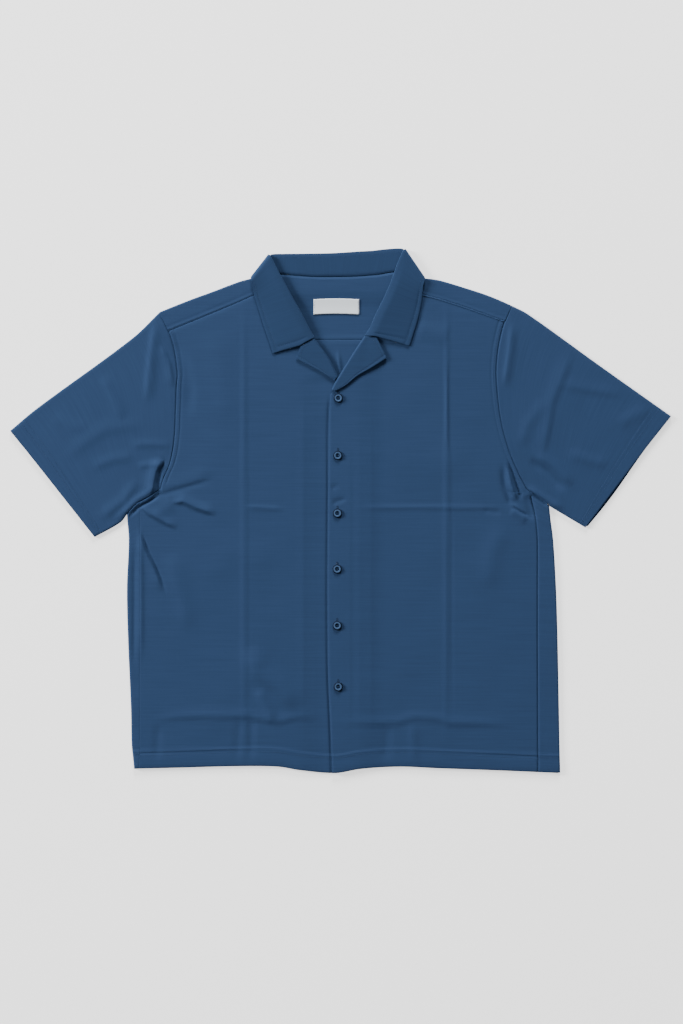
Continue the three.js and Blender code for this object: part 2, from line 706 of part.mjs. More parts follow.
// The neck label: a blank woven tab on the inside of the yoke.
function label() {
  const { x0, x1, y0, y1, tape } = labelSheet;
  const lift = CLOTH + SEAM_GAP + tape;
  const across = spread(x0, x1, 4);
  const rows = spread(y0, y1, 3).map((y) => across.map((x) => point(x, y, yokeFloor(x, y) + lift)));
  return wall(rows, tape, { turned: true });
}

// A four-hole button with a raised rim and a sunk middle.
function button() {
  const profile = [
    [0, 0],
    [BUTTON_RADIUS - 0.9, 0],
    [BUTTON_RADIUS, 0.9],
    [BUTTON_RADIUS - 0.5, BUTTON_THICKNESS],
    [BUTTON_RADIUS - 2, BUTTON_THICKNESS],
    [BUTTON_RADIUS - 2.8, BUTTON_THICKNESS - 0.9],
    [0, BUTTON_THICKNESS - 0.9],
  ].map(([radius, z]) => new THREE.Vector2(radius, z));
  const disc = new THREE.LatheGeometry(profile, 12).rotateX(Math.PI / 2);
  const holeOffset = 1.3;
  const holes = [-1, 1].flatMap((a) =>
    [-1, 1].map((b) => {
      const drill = new THREE.CylinderGeometry(0.8, 0.8, 9, 5).rotateX(Math.PI / 2);
      return solidOf(drill.translate(a * holeOffset, b * holeOffset, 0));
    }),
  );
  return without(disc, ...holes);
}

const cloth = (color) => new THREE.MeshStandardMaterial({ color, roughness: 0.92, metalness: 0 });
const group = new THREE.Group();

function addPiece(name, geometry, material) {
  const mesh = new THREE.Mesh(geometry, material);
  mesh.name = name;
  group.add(mesh);
  return mesh;
}

addPiece("back", backPanel(), cloth(0x2f4d6e));
addPiece("yoke", yoke(), cloth(0x2e4b6b));
addPiece("front_right", frontPanel("right"), cloth(0x325072));
addPiece("front_left", frontPanel("left"), cloth(0x325072));
addPiece("sleeve_right", sleeve(armholes.right, false), cloth(0x325072));
addPiece("sleeve_left", sleeve(armholes.left, true), cloth(0x2e4b6d));
addPiece("facing_right", lapelFacing("right"), cloth(0x2e4b6d));
addPiece("facing_left", lapelFacing("left"), cloth(0x2e4b6d));
addPiece("collar", collar(), cloth(0x2e4b6d));
addPiece("label", label(), cloth(0xcfd7de));

buttonPlaces.forEach(({ x, y }, i) => {
  const finish = new THREE.MeshStandardMaterial({ color: 0x24405e, roughness: 0.45, metalness: 0 });
  const piece = addPiece(`button_${i + 1}`, button(), finish);
  piece.position.set(x, y, frontHeights.left(x, y) + SEAM_GAP);
});

export default group;
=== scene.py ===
import math
import bpy
import bmesh
import numpy as np
from mathutils import Matrix, Vector


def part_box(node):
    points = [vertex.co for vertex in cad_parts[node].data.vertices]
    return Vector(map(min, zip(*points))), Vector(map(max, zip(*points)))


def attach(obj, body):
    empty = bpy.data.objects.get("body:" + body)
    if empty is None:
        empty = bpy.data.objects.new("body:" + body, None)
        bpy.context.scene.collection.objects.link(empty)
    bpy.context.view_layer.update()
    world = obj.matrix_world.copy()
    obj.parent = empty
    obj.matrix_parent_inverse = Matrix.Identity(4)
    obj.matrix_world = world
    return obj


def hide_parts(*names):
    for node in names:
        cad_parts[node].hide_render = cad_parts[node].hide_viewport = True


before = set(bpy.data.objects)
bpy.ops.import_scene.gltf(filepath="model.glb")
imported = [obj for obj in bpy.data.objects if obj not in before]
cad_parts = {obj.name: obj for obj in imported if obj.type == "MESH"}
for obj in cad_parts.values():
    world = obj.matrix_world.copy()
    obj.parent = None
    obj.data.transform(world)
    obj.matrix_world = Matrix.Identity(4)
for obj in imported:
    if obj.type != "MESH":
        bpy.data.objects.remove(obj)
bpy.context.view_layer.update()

# Camera: straight above the laid-out shirt, with a long lens, framed as in the photo.
# One photo pixel is 1.4 mm, and the picture is 683 by 1024 pixels.
PIXEL = 0.0014
PICTURE_HEIGHT = 1024
PICTURE_CENTRE = (0.0014, -0.0021)
LENS = 120
SENSOR = 36
lens = bpy.data.cameras.new("camera")
lens.lens = LENS
lens.sensor_width = SENSOR
camera = bpy.data.objects.new("camera", lens)
bpy.context.scene.collection.objects.link(camera)
camera.location = (*PICTURE_CENTRE, PIXEL * PICTURE_HEIGHT * LENS / SENSOR)
bpy.context.scene.camera = camera

# Back panel: one piece of waffle knit, cut wide enough to roll over both side folds to the
# side seams on the front. It lies flat on the surface, with a twin-stitched hem.
# Sizes are in millimetres, and heights are of the cloth's right side, above the surface.
MM = 0.001
LAID = 4.4
LOWEST = 1.8
CLOTH = 0.8


def smooth(known, wanted):
    """A smooth line through a few measured sizes."""
    known = np.array(known, float)
    wanted = np.array(wanted, float)
    ahead = np.minimum(np.arange(len(known)) + 1, len(known) - 1)
    behind = np.maximum(np.arange(len(known)) - 1, 0)
    slopes = (wanted[ahead] - wanted[behind]) / (known[ahead] - known[behind])

    def line(value):
        value = np.asarray(value, float)
        i = np.clip(np.searchsorted(known, value, side="right") - 1, 0, len(known) - 2)
        span = known[i + 1] - known[i]
        s = np.clip((value - known[i]) / span, 0, 1)
        start = (1 + 2 * s) * (1 - s) ** 2 * wanted[i] + s * (1 - s) ** 2 * span * slopes[i]
        return start + s * s * (3 - 2 * s) * wanted[i + 1] + s * s * (s - 1) * span * slopes[i + 1]

    return line


def ease(value, low, high):
    """A soft step from 0 to 1 between two places."""
    s = np.clip((np.asarray(value, float) - low) / (high - low), 0, 1)
    return s * s * (3 - 2 * s)


# Creases of the upper layer: the crest's places, the width on its two sides, and its height.
# Troughs have a negative height. The pressed creases are long, narrow and low.
CREASES = [
    ([(-280, 6), (-267, -5), (-246, -16.5), (-229, -26)], 7, 1.3, 1.3),
    ([(-264, -8), (-247, 2), (-231, 10)], 9, 9, 0.6),
    ([(-236, 11), (-220, 12.5), (-203, 4.5), (-174, -6)], 8, 2.2, 1.7),
    ([(-274, 13), (-254, 21), (-232, 28), (-205, 36), (-178, 43)], 3.2, 4.5, -0.55),
    ([(-252, 36), (-229, 37), (-206, 44), (-180, 54)], 10, 9, 0.5),
    ([(-281, -32), (-275, -53), (-261.5, -80), (-248, -114)], 1.7, 8, 1.3),
    ([(-277, -32), (-271, -53), (-257.5, -80), (-244, -114)], 1.8, 1.5, -0.9),
    ([(-280, -22), (-279, -110), (-279, -210)], 4, 4, 0.8),
    ([(-253, 36), (-268, 25), (-285, 15), (-299, 1), (-316, -14)], 7, 5, 1.1),
    ([(262, 34), (276, 23), (292, 12), (312, 1)], 5, 7, 1.2),
    ([(-288.5, -50), (-289, -220)], 3, 3, -0.6),
    ([(-296, -9), (-283, 4), (-268, 12), (-255, 20)], 1.7, 1.7, -1.4),
    ([(-265, 22), (-262, 40), (-259, 54), (-250, 72)], 9, 3.2, 2.1),
    ([(-256, 18), (-255, 39), (-252, 53), (-246, 68)], 1.7, 1.6, -2.9),
    ([(236, 66), (244.6, 38.5), (252, 17)], 1.7, 1.7, -2.2),
    ([(233, 60), (239, 36), (247, 14)], 2.2, 3.6, 1.9),
    ([(228, 62), (230, 37), (237, 14), (249, 7)], 4, 4.5, -1.4),
    ([(240, 6), (251, -1), (263, -8)], 1.6, 1.6, -1.1),
    ([(238, 2), (250, -6), (262, -14)], 2.4, 7, 0.9),
    ([(262, 22), (265, 4), (268, -14)], 7, 6, -0.8),
    ([(264, 25), (278, 15), (291, 6)], 2, 2, -1.7),
    ([(198, 0), (225, -3)], 4, 4, -0.4),
    ([(-240, -60), (-222, -120), (-212, -170)], 14, 12, 0.8),
    ([(-236, 249), (-221, 212), (-211, 171), (-213, 130)], 9, 12, -0.9),
    ([(-131, -190), (-115, -226), (-88, -247), (-59, -281)], 16, 11, 1.7),
    ([(-118, -250), (-104, -275), (-93, -296)], 8, 6, 1.2),
    ([(-180, 250), (-165, 190), (-160, 120)], 20, 20, 0.7),
    ([(-134.8, 306), (-134.8, -349)], 2.6, 3, 0.6),
    ([(-52.6, 180), (-52.6, -330)], 4, 4, 0.22),
    ([(42, 150), (42, -340)], 4, 4, 0.2),
    ([(18.5, 120), (18.5, -340)], 3, 3, -0.2),
    ([(148.5, 300), (148.5, -330)], 2.8, 2.6, 0.85),
    ([(152.5, 10), (152.5, -300)], 3, 3, -0.35),
    ([(16, 4), (120, 5), (232, 4)], 3, 4, 0.5),
    ([(-134, 6), (-79, 2)], 3, 4, 0.5),
    ([(-267, -296), (-226, -289), (-132, -288), (-88, -296), (-60, -289), (-18, -290)], 8, 2.4, 0.8),
    ([(-9, -299), (79, -297), (104, -290), (140, -293), (151, -298), (243, -300)], 8, 2.4, 0.8),
    ([(-124, -285), (-125, -352)], 4, 5, -0.6),
    ([(-141, -290), (-146, -352)], 5, 5, -0.5),
    ([(-255, -300), (-257, -350)], 6, 6, -0.5),
    ([(66, -300), (63, -352)], 6, 7, -0.5),
    ([(100, -298), (104, -352)], 7, 6, 0.6),
    ([(-258, 268), (-264, 225), (-268, 190), (-271, 150)], 9, 5, 1.2),
    ([(-252, 232), (-240, 205), (-234, 172)], 3, 7, 0.9),
    ([(-333, 190), (-318, 158), (-303, 125)], 9, 7, 0.8),
    ([(-386, 72), (-352, 100), (-327, 115), (-272, 121)], 11, 9, 0.55),
    ([(-292, 92), (-262, 93), (-236, 91)], 6, 5, 0.5),
    ([(-284, 63), (-264, 64), (-247, 66)], 5, 5, 0.7),
    ([(-338, -12), (-303, 15), (-284, 43)], 8, 7, 0.8),
    ([(-349, 60), (-318, 72), (-288, 76)], 8, 7, 0.6),
    ([(-404, 132), (-375, 118), (-350, 116)], 9, 9, 0.4),
    ([(240, 264), (237, 226), (229, 172)], 7, 4, 1.1),
    ([(324, 224), (308, 183), (295, 150), (290, 118), (280, 70)], 5, 10, 0.8),
    ([(303, 177), (350, 169), (396, 162)], 9, 6, 0.5),
    ([(386, 119), (408, 131), (432, 144)], 9, 9, 0.6),
    ([(264, 72), (288, 54), (314, 27)], 5, 6, -1.1),
    ([(274, 80), (298, 62), (324, 34)], 8, 5, 0.9),
    ([(318, 81), (346, 71), (375, 64)], 8, 8, 0.6),
    ([(286, 155), (262, 120), (251, 88)], 9, 8, 0.6),
    ([(230, -20), (212, -60), (205, -110)], 14, 14, 0.7),
    ([(106, 255), (130, 249), (153, 243)], 11, 11, 0.8),
    ([(-12, 9), (-2, 13), (8, 16)], 4, 2.5, -0.6),
    ([(-13, 31), (-3, 34)], 4, 3, -0.4),
    ([(60, 90), (120, 60), (190, 80)], 24, 24, 0.5),
    ([(-200, -100), (-150, -60), (-90, -70)], 24, 24, 0.5),
]
CREASE_GAIN = 1.5
CREASE_TAPER = (-0.05, 0.25)


def crease_height(x, y):
    """The height that all the creases add at each place."""
    total = np.zeros(np.broadcast(x, y).shape)
    for crest, left, right, height in CREASES:
        steps = [math.dist(a, b) for a, b in zip(crest, crest[1:])]
        length = sum(steps)
        nearest = np.full(total.shape, 1e9)
        side = np.zeros(total.shape)
        share = np.zeros(total.shape)
        gone = 0
        for (x0, y0), (x1, y1), step in zip(crest, crest[1:], steps):
            dx = (x1 - x0) / step
            dy = (y1 - y0) / step
            along = np.clip((x - x0) * dx + (y - y0) * dy, 0, step)
            away = np.hypot(x - x0 - along * dx, y - y0 - along * dy)
            closer = away < nearest
            nearest = np.where(closer, away, nearest)
            side = np.where(closer, (x - x0) * dy - (y - y0) * dx, side)
            share = np.where(closer, (gone + along) / length, share)
            gone += step
        width = np.where(side > 0, right, left)
        taper = ease(np.minimum(share, 1 - share), *CREASE_TAPER)
        total = total + CREASE_GAIN * height * taper * np.exp(-((nearest / width) ** 2))
    return total


def soft_waves(x, y):
    """The slight unevenness of cloth that has been smoothed by hand."""
    waves = 0.14 * np.sin(x / 31 + 1.3 * np.sin(y / 77)) * np.sin(y / 43 + 0.9)
    waves += 0.1 * np.sin(x / 17 - y / 29 + 2.1) * np.sin(y / 61 - 0.4)
    return waves + 0.05 * np.sin(x / 7.3 + y / 23) * np.sin(y / 9.1 + x / 37)


NECK_CENTRE = (-4, 335)
NECK_REACH = (108, 60)
NECK_RISE = 1.6


def upper_height(x, y):
    """The upper layer rises over the collar's lower ply beside the neck."""
    ring = np.hypot((x - NECK_CENTRE[0]) / NECK_REACH[0], (y - NECK_CENTRE[1]) / NECK_REACH[1])
    laid = LAID + NECK_RISE * (1 - ease(ring, 0.95, 1.4))
    return np.maximum(laid + crease_height(x, y) + soft_waves(x, y), LOWEST)


def fold_turn(edge, inward, top, bottom, steps=9):
    """Points round a folded edge, from the upper layer over to the lower one."""
    radius = (top - bottom) / 2
    angles = np.radians(np.linspace(90, -90, steps))
    out = radius * (1 - np.cos(angles))
    return np.column_stack([
        edge[0] + inward[0] * out,
        edge[1] + inward[1] * out,
        (top + bottom) / 2 + radius * np.sin(angles),
    ])


# The body's outline and seams: side folds, side seams, hem, armholes and underarm seams.
SIDE_Y = [-368, -344, -328, -276, -176, -108, -41, -8, 20, 300]
side_fold = {
    "right": smooth(SIDE_Y, [-288.2, -290.5, -292.2, -293.3, -297.5, -298.9, -296.3, -298.6, -298.8, -299]),
    "left": smooth(SIDE_Y, [307.5, 307, 306.6, 305.7, 303.8, 301.7, 297.7, 293.6, 291.2, 291]),
}
side_seam = {
    "right": smooth(SIDE_Y, [-281.8, -281.1, -281, -281, -281, -281, -280.9, -280.8, -280.7, -280.7]),
    "left": smooth(SIDE_Y, [276.5, 276.5, 276.4, 276.3, 275.9, 275.9, 275.8, 272.6, 266, 266]),
}
HEM_X = [-310, -288.4, -224.7, -142.7, -87.5, -56.7, -8, 28.7, 83.3, 133.7, 212.1, 307.3]
hem = smooth(HEM_X, [-361.6, -361.2, -359.8, -357.7, -358.4, -363.3, -367.3, -361.4, -358.4, -360.5,
                     -363.3, -367.3])
armhole = {
    "right": smooth([30.1, 45.9, 65.2, 96.6, 140, 173.7, 192.9, 236.3, 277.9],
                    [-252.7, -247.7, -239.3, -233.2, -230.9, -229.6, -228.3, -235.6, -252.7]),
    "left": smooth([30.2, 55.6, 82, 120.7, 164.1, 205.1, 250.9, 287],
                   [260.5, 247.4, 236.5, 225.7, 219.7, 218.4, 225.7, 238.8]),
}
# The underarm seams, as places across and up.
UNDERARM = {
    "right": [(-298.3, -4.9), (-283.8, 9.8), (-266.7, 19.6), (-252.7, 30.1)],
    "left": [(260.5, 30.2), (275.5, 18), (290.8, 8.5), (293.4, 5.5)],
}
underarm_y = {side: smooth(*zip(*places)) for side, places in UNDERARM.items()}
underarm = {
    side: smooth(*zip(*sorted((y, x) for x, y in places))) for side, places in UNDERARM.items()
}
ARMHOLE_TOP = {"right": 277.9, "left": 287}
ARMHOLE_FOOT = {"right": 30.1, "left": 30.2}

BACK_TOP = 238.65
BACK_HEIGHT = 599
CROTCH = {"right": UNDERARM["right"][0], "left": UNDERARM["left"][-1]}
crotch_rise = {}
for side, (x, y) in CROTCH.items():
    foot = float(hem(x))
    crotch_rise[side] = BACK_HEIGHT * (y - foot) / (BACK_TOP - foot)

# Rows of the mesh, by their rise above the hem, and columns across the hidden middle.
ALLOWANCE_ROWS = (0, 0.4, 2)
hem_rows = [0, 1.2, 3, 8, 15, 21, 23.5, 25, 26.5, 28.5, 32]
back_rises = np.sort(np.array(
    hem_rows
    + list(np.linspace(38, 280, 58))
    + list(np.linspace(283, 357, 34))
    + list(np.linspace(359.5, 369, 6))
    + list(np.linspace(375, BACK_HEIGHT - 8, 36))
    + [BACK_HEIGHT - 1.4, BACK_HEIGHT - 0.7, BACK_HEIGHT]
    + [rise + beyond for rise in crotch_rise.values() for beyond in ALLOWANCE_ROWS]
))
floor_shares = np.concatenate([
    np.linspace(0, 0.46, 38),
    np.linspace(0.468, 0.55, 24),
    np.linspace(0.558, 1, 38),
])

HEM_PLY = 0.6
HEM_STITCH_ROWS = (21.5, 26.5)
HEM_STITCH_DIP = 0.55
HEM_DIP_WIDTH = 1.3


def hem_relief(rise):
    """The hem is double cloth, held down by its two rows of stitches."""
    band = HEM_PLY * (1 - ease(rise, 25.5, 28))
    rows = sum(np.exp(-(((rise - row) / HEM_DIP_WIDTH) ** 2)) for row in HEM_STITCH_ROWS)
    return band - HEM_STITCH_DIP * rows - HEM_PLY * np.exp(-((rise / HEM_DIP_WIDTH) ** 2))


def hem_lines(rises):
    """The mesh rows that lie nearest to the hem's two rows of stitches."""
    return [int(np.argmin(abs(np.array(rises) - row))) for row in HEM_STITCH_ROWS]


ALLOWANCE_TUCK = 1.7
UNDER_SEAM = 0.1
SEAM_WIDTH = 0.9
SEAM_GROOVE = {"right": 0.1, "left": 0.9}
PLEAT = {"height": 1.8, "width": 2.2, "x": -2, "y": 207, "lean": 0.15}
SEAM_PLY = 0.5


def back_row(rise):
    """One row of the back, from one side seam round both folds and the floor to the other."""
    share = rise / BACK_HEIGHT

    def level(x):
        return hem(x) + (BACK_TOP - hem(x)) * share

    lift = hem_relief(rise)
    parts = {}
    for side, sign in (("right", 1), ("left", -1)):
        tucked = lift - (ALLOWANCE_TUCK if rise > crotch_rise[side] else 0)
        crotch_x, crotch_y = CROTCH[side]
        y = float(level(crotch_x))
        edge = float(side_fold[side](y))
        close = float(ease(y, crotch_y - 60, crotch_y))
        seam = float(side_seam[side](y + 14 * close))
        from_seam = np.concatenate([[0.05, 0.6, 1.4, 2.6], np.linspace(4.2, abs(edge - seam) - 3.4, 10)])
        x = seam - sign * from_seam
        wy = level(x) + close * (underarm_y[side](x) - crotch_y + 0.2)
        groove = SEAM_GROOVE[side] * np.exp(-(((x - seam) / SEAM_WIDTH) ** 2))
        height = upper_height(x, wy) + tucked - groove
        x = np.concatenate([[seam + sign * 1.6, seam], x])
        wy = np.concatenate([[wy[0]] * 2, wy])
        height = np.concatenate([[height[0] - 1.1, height[0] - 1], height])
        turn = fold_turn((edge, y), (sign, 0), float(upper_height(edge, y)) + tucked, 0)
        parts[side] = (np.column_stack([x, wy, height]), turn, edge + sign * 4, y)
    low, y = parts["right"][2:]
    if rise > crotch_rise["right"]:
        line = underarm if y < ARMHOLE_FOOT["right"] else armhole
        low = float(line["right"](y)) - UNDER_SEAM
    high, y = parts["left"][2:]
    if rise > crotch_rise["left"]:
        line = underarm if y < ARMHOLE_FOOT["left"] else armhole
        high = float(line["left"](y)) + UNDER_SEAM
    x = low + (high - low) * floor_shares
    y = level(x)
    from_pleat = x - PLEAT["x"] + (y - PLEAT["y"]) * PLEAT["lean"]
    pleat = PLEAT["height"] * np.exp(-((from_pleat / PLEAT["width"]) ** 2))
    pleat *= ease(y, 150, 200) * (1 - ease(y, 212, 222))
    seam_ply = SEAM_PLY * ease(y, BACK_TOP - 7, BACK_TOP - 5) * (1 - ease(y, BACK_TOP - 1.2, BACK_TOP))
    floor = np.column_stack([x, y, pleat + seam_ply])
    right_wrap, right_turn = parts["right"][:2]
    left_wrap, left_turn = parts["left"][:2]
    return np.vstack([right_wrap, right_turn, floor, left_turn[::-1], left_wrap[::-1]])


def path_length(points):
    """How far along a line each of its points lies."""
    steps = np.linalg.norm(np.diff(points, axis=0), axis=1)
    return np.concatenate([[0], np.cumsum(steps)])


def surface_grain(points, start=0):
    """The knit's own directions: lengths across and along the cloth, in metres."""
    rows, columns = points.shape[:2]
    across = np.stack([path_length(points[i]) for i in range(rows)])
    across -= across[:, start][:, None]
    along = path_length(points[:, start])
    return np.dstack([across, np.repeat(along[:, None], columns, axis=1)]) * MM


def grid_mesh(points, grain, cut=None, ring=False, facing=(0, 0, 1), at=(0, 0)):
    """A bmesh grid laid over rows of points, with the knit's directions as its UV map."""
    rows, columns = points.shape[:2]
    sheet = bmesh.new()
    made = bmesh.ops.create_grid(sheet, x_segments=columns - 1, y_segments=rows - 1, size=0.5)
    uv = sheet.loops.layers.uv.new("grain")
    where = {}
    for vert in made["verts"]:
        j = round((vert.co.x + 0.5) * (columns - 1))
        i = round((vert.co.y + 0.5) * (rows - 1))
        where[vert] = (i, j)
    for face in sheet.faces:
        for loop in face.loops:
            i, j = where[loop.vert]
            loop[uv].uv = grain[i, j]
    marked = None
    for vert, (i, j) in where.items():
        vert.co = Vector(points[i, j]) * MM
        if (i, j) == at:
            marked = vert
    sheet.normal_update()
    if marked.normal.dot(Vector(facing)) < 0:
        bmesh.ops.reverse_faces(sheet, faces=sheet.faces)
    if cut is not None:
        gone = [face for face in sheet.faces if any(cut[where[v]] for v in face.verts)]
        bmesh.ops.delete(sheet, geom=gone, context="FACES")
    if ring:
        bmesh.ops.remove_doubles(sheet, verts=sheet.verts, dist=1e-6)
    return sheet


def add_piece(name, shape, *materials):
    """A visible piece made from a bmesh."""
    mesh = bpy.data.meshes.new(name)
    shape.to_mesh(mesh)
    for material in materials:
        mesh.materials.append(material)
    piece = bpy.data.objects.new(name, mesh)
    bpy.context.scene.collection.objects.link(piece)
    return piece


def cloth_piece(name, sheets, thickness, material):
    """One cloth piece from its sheets, given its thickness behind the right side."""
    whole = bmesh.new()
    for sheet in sheets:
        part = bpy.data.meshes.new("part")
        sheet.to_mesh(part)
        whole.from_mesh(part)
        bpy.data.meshes.remove(part)
    for face in whole.faces:
        face.smooth = True
    piece = add_piece(name, whole, material)
    wall = piece.modifiers.new("thickness", "SOLIDIFY")
    wall.thickness = thickness * MM
    wall.offset = -1
    wall.use_even_offset = False
    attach(piece, "root")
    return piece


class Finish:
    """A material with one surface shader, and the node steps that cloth, thread and resin share."""

    def __init__(self, name, **values):
        self.material = bpy.data.materials.new(name)
        self.material.use_nodes = True
        self.shader = self.material.node_tree.nodes["Principled BSDF"]
        self.give(self.shader, **values)

    def give(self, node, **values):
        """Set a node's inputs by name, with low lines for the spaces."""
        for name, value in values.items():
            node.inputs[name.replace("_", " ")].default_value = value

    def node(self, kind, **values):
        node = self.material.node_tree.nodes.new("ShaderNode" + kind)
        self.give(node, **values)
        return node

    def link(self, source, target):
        self.material.node_tree.links.new(source, target)

    def step(self, operation, *sources):
        """One step of arithmetic on values or on other steps."""
        sums = self.node("Math")
        sums.operation = operation
        for socket, source in zip(sums.inputs, sources):
            if isinstance(source, float):
                socket.default_value = source
            else:
                self.link(source, socket)
        return sums.outputs[0]

    def grain(self, scale=None):
        """The knit's own directions, stretched by a scale where one is given."""
        grain = self.node("UVMap")
        grain.uv_map = "grain"
        if scale is None:
            return grain.outputs["UV"]
        stretch = self.node("Mapping", Scale=scale)
        self.link(grain.outputs["UV"], stretch.inputs["Vector"])
        return stretch.outputs[0]

    def mottle(self, place, dark, light, **values):
        """Noise that runs between two shades of a colour; gives both."""
        noise = self.node("TexNoise", **values)
        self.link(place, noise.inputs["Vector"])
        shades = self.node("ValToRGB")
        shades.color_ramp.elements[0].color = (*dark, 1)
        shades.color_ramp.elements[1].color = (*light, 1)
        self.link(noise.outputs["Fac"], shades.inputs["Fac"])
        return noise.outputs["Fac"], shades

    def bump(self, height, strength, distance, under=None):
        bump = self.node("Bump", Strength=strength, Distance=distance)
        self.link(height, bump.inputs["Height"])
        if under is not None:
            self.link(under, bump.inputs["Normal"])
        return bump.outputs[0]


CELL_ACROSS = 0.0017
CELL_ALONG = 0.0013
SLUB_SCALE = (14, 520, 1)


def knit(name, colour, relief=0.35):
    """Fine waffle knit: small square cells, slubs along the courses, and a dull bloom, with painted shade
    in the cells' hollows.
    """
    finish = Finish(name, Roughness=0.88, Specular_IOR_Level=0.1, Sheen_Weight=0.15,
                    Sheen_Roughness=0.5, Sheen_Tint=(0.25, 0.5, 1, 1))
    split = finish.node("SeparateXYZ")
    finish.link(finish.grain(), split.inputs[0])
    ribs = []
    for axis, cell in (("X", CELL_ACROSS), ("Y", CELL_ALONG)):
        turns = finish.step("MULTIPLY", split.outputs[axis], math.pi / cell)
        ribs.append(finish.step("ABSOLUTE", finish.step("COSINE", turns)))
    cells = finish.step("MAXIMUM", *ribs)
    dark = [channel * 0.93 for channel in colour]
    light = [channel * 1.07 for channel in colour]
    slubs, shades = finish.mottle(finish.grain(SLUB_SCALE), dark, light, Scale=1, Detail=3)
    shades.color_ramp.elements[0].position = 0.25
    shades.color_ramp.elements[1].position = 0.75
    raised = finish.bump(cells, relief, 0.0003)
    fuzz = finish.bump(slubs, 0.12, 0.0004, raised)
    finish.link(fuzz, finish.shader.inputs["Normal"])
    # Painted shade: the colour is darker in the cells' hollows, and a little lighter on their ridges as
    # painted light.
    painted_cell_shade = finish.node("MapRange", To_Min=0.9, To_Max=1.03)
    finish.link(cells, painted_cell_shade.inputs["Value"])
    shade = finish.node("VectorMath")
    shade.operation = "SCALE"
    finish.link(shades.outputs["Color"], shade.inputs[0])
    finish.link(painted_cell_shade.outputs[0], shade.inputs["Scale"])
    finish.link(shade.outputs[0], finish.shader.inputs["Base Color"])
    return finish.material


def mottled_material(name, dark, light, roughness, specular, **values):
    """Plain dyed stuff, such as thread or resin, in two near shades of one colour."""
    finish = Finish(name, Roughness=roughness, Specular_IOR_Level=specular)
    place = finish.node("TexCoord").outputs["Object"]
    _, shades = finish.mottle(place, dark, light, **values)
    finish.link(shades.outputs["Color"], finish.shader.inputs["Base Color"])
    return finish.material


def thread_material(name, colour):
    """Sewing thread, mottled in two near shades."""
    dark = [channel * 0.8 for channel in colour]
    light = [channel * 1.15 for channel in colour]
    return mottled_material(name, dark, light, 0.7, 0.15, Scale=2600)


BODY_BLUE = (0.0226, 0.0474, 0.1105)
THREAD_BLUE = (0.029, 0.059, 0.129)
body_knit = knit("body_knit", BODY_BLUE)
thread = thread_material("thread", THREAD_BLUE)
STITCH_LIFT = 0.05
STITCH_DEPTH = 0.6


def stitches(name, paths, pitch=3, length=2.1, width=0.62, yarn=thread):
    """Rows of lockstitch that follow the cloth, each stitch a small spindle of thread."""
    seam = bmesh.new()
    for path in paths:
        gone = path_length(path)
        starts = np.arange(pitch / 2, gone[-1] - pitch / 2, pitch)
        place = np.column_stack([np.interp(starts, gone, path[:, k]) for k in range(3)])
        ahead = np.column_stack([np.interp(starts + 0.6, gone, path[:, k]) for k in range(3)])
        for here, there in zip(place, ahead):
            along = Vector(there - here).normalized()
            turn = along.to_track_quat("X", "Z").to_matrix().to_4x4()
            spot = Matrix.Translation((Vector(here) + Vector((0, 0, STITCH_LIFT))) * MM)
            size = Matrix.Diagonal((length / 2 * MM, width / 2 * MM, STITCH_DEPTH / 2 * MM, 1))
            bmesh.ops.create_icosphere(seam, subdivisions=1, radius=1, matrix=spot @ turn @ size)
    for face in seam.faces:
        face.smooth = True
    piece = add_piece(name, seam, yarn)
    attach(piece, "root")
    return piece


back_points = np.stack([back_row(rise) for rise in back_rises])
WRAP_COLUMNS = 25
past_allowance = ALLOWANCE_ROWS[-1] + 0.2
back_cut = np.zeros(back_points.shape[:2], bool)
back_cut[back_rises > crotch_rise["right"] + past_allowance, :WRAP_COLUMNS] = True
back_cut[back_rises > crotch_rise["left"] + past_allowance, -WRAP_COLUMNS:] = True
back_grain = surface_grain(back_points, 70)
back_sheet = grid_mesh(back_points, back_grain, back_cut, facing=(0, 0, -1), at=(60, 70))
back = cloth_piece("back_cloth", [back_sheet], CLOTH, body_knit)
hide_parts("back")
wrap_hems = [back_points[i, 2:16] for i in hem_lines(back_rises)]
wrap_hems += [back_points[i, -16:-2] for i in hem_lines(back_rises)]
back_stitches = stitches("back_hem_stitches", wrap_hems)

# Yoke: one piece of the same knit across the upper back. It comes over both shoulders to the
# front, where it is topstitched to the fronts. Behind the neck it lies over the collar's fall.
SEAM = 0.02
SHOULDER_X = [-272, -252.7, -210.7, -179.9, -151.9, -139.3, -124, -113, -100, 0, 94, 106, 115.5, 128,
              140.7, 174.3, 207.9, 238.7, 262]
FOLD_Y = [270.1, 277.9, 294.7, 305.9, 316.6, 321, 325, 330, 334, 336, 334.5, 330, 325.4, 323.8,
          321.6, 311.5, 300.3, 287, 275]
YOKE_SEAM_Y = [237.5, 245.5, 262.8, 275.4, 287.1, 292.7, 299.6, 304.4, 309.2, 330, 307, 304, 301, 297.8,
               294.3, 283.5, 271.6, 260.6, 252]
shoulder_fold = smooth(SHOULDER_X, FOLD_Y)
yoke_seam = smooth(SHOULDER_X, YOKE_SEAM_Y)
back_neck = smooth([-118.5, -101, -82.7, -37.9, 17.1, 53.6, 75, 92, 109],
                   [328.9, 330.6, 330, 326.5, 326.8, 329.6, 333, 333.8, 330])
NECK_SIDES = (-109, 101)
OVER_COLLAR = 2.2
YOKE_FOLD_IN = 3.2
YOKE_END = 238.75
YOKE_EDGE_DIP = 0.6
TOPSTITCH_DIP = 0.35
DIP_WIDTH = 1.2
TOPSTITCH_IN = 5.5


def yoke_floor(x, y):
    """The lower ply lies on the surface, and rises over the collar's fall behind the neck."""
    return OVER_COLLAR * (1 - ease(np.abs(x - NECK_CENTRE[0]), 120, 152)) * ease(y, 281, 309)


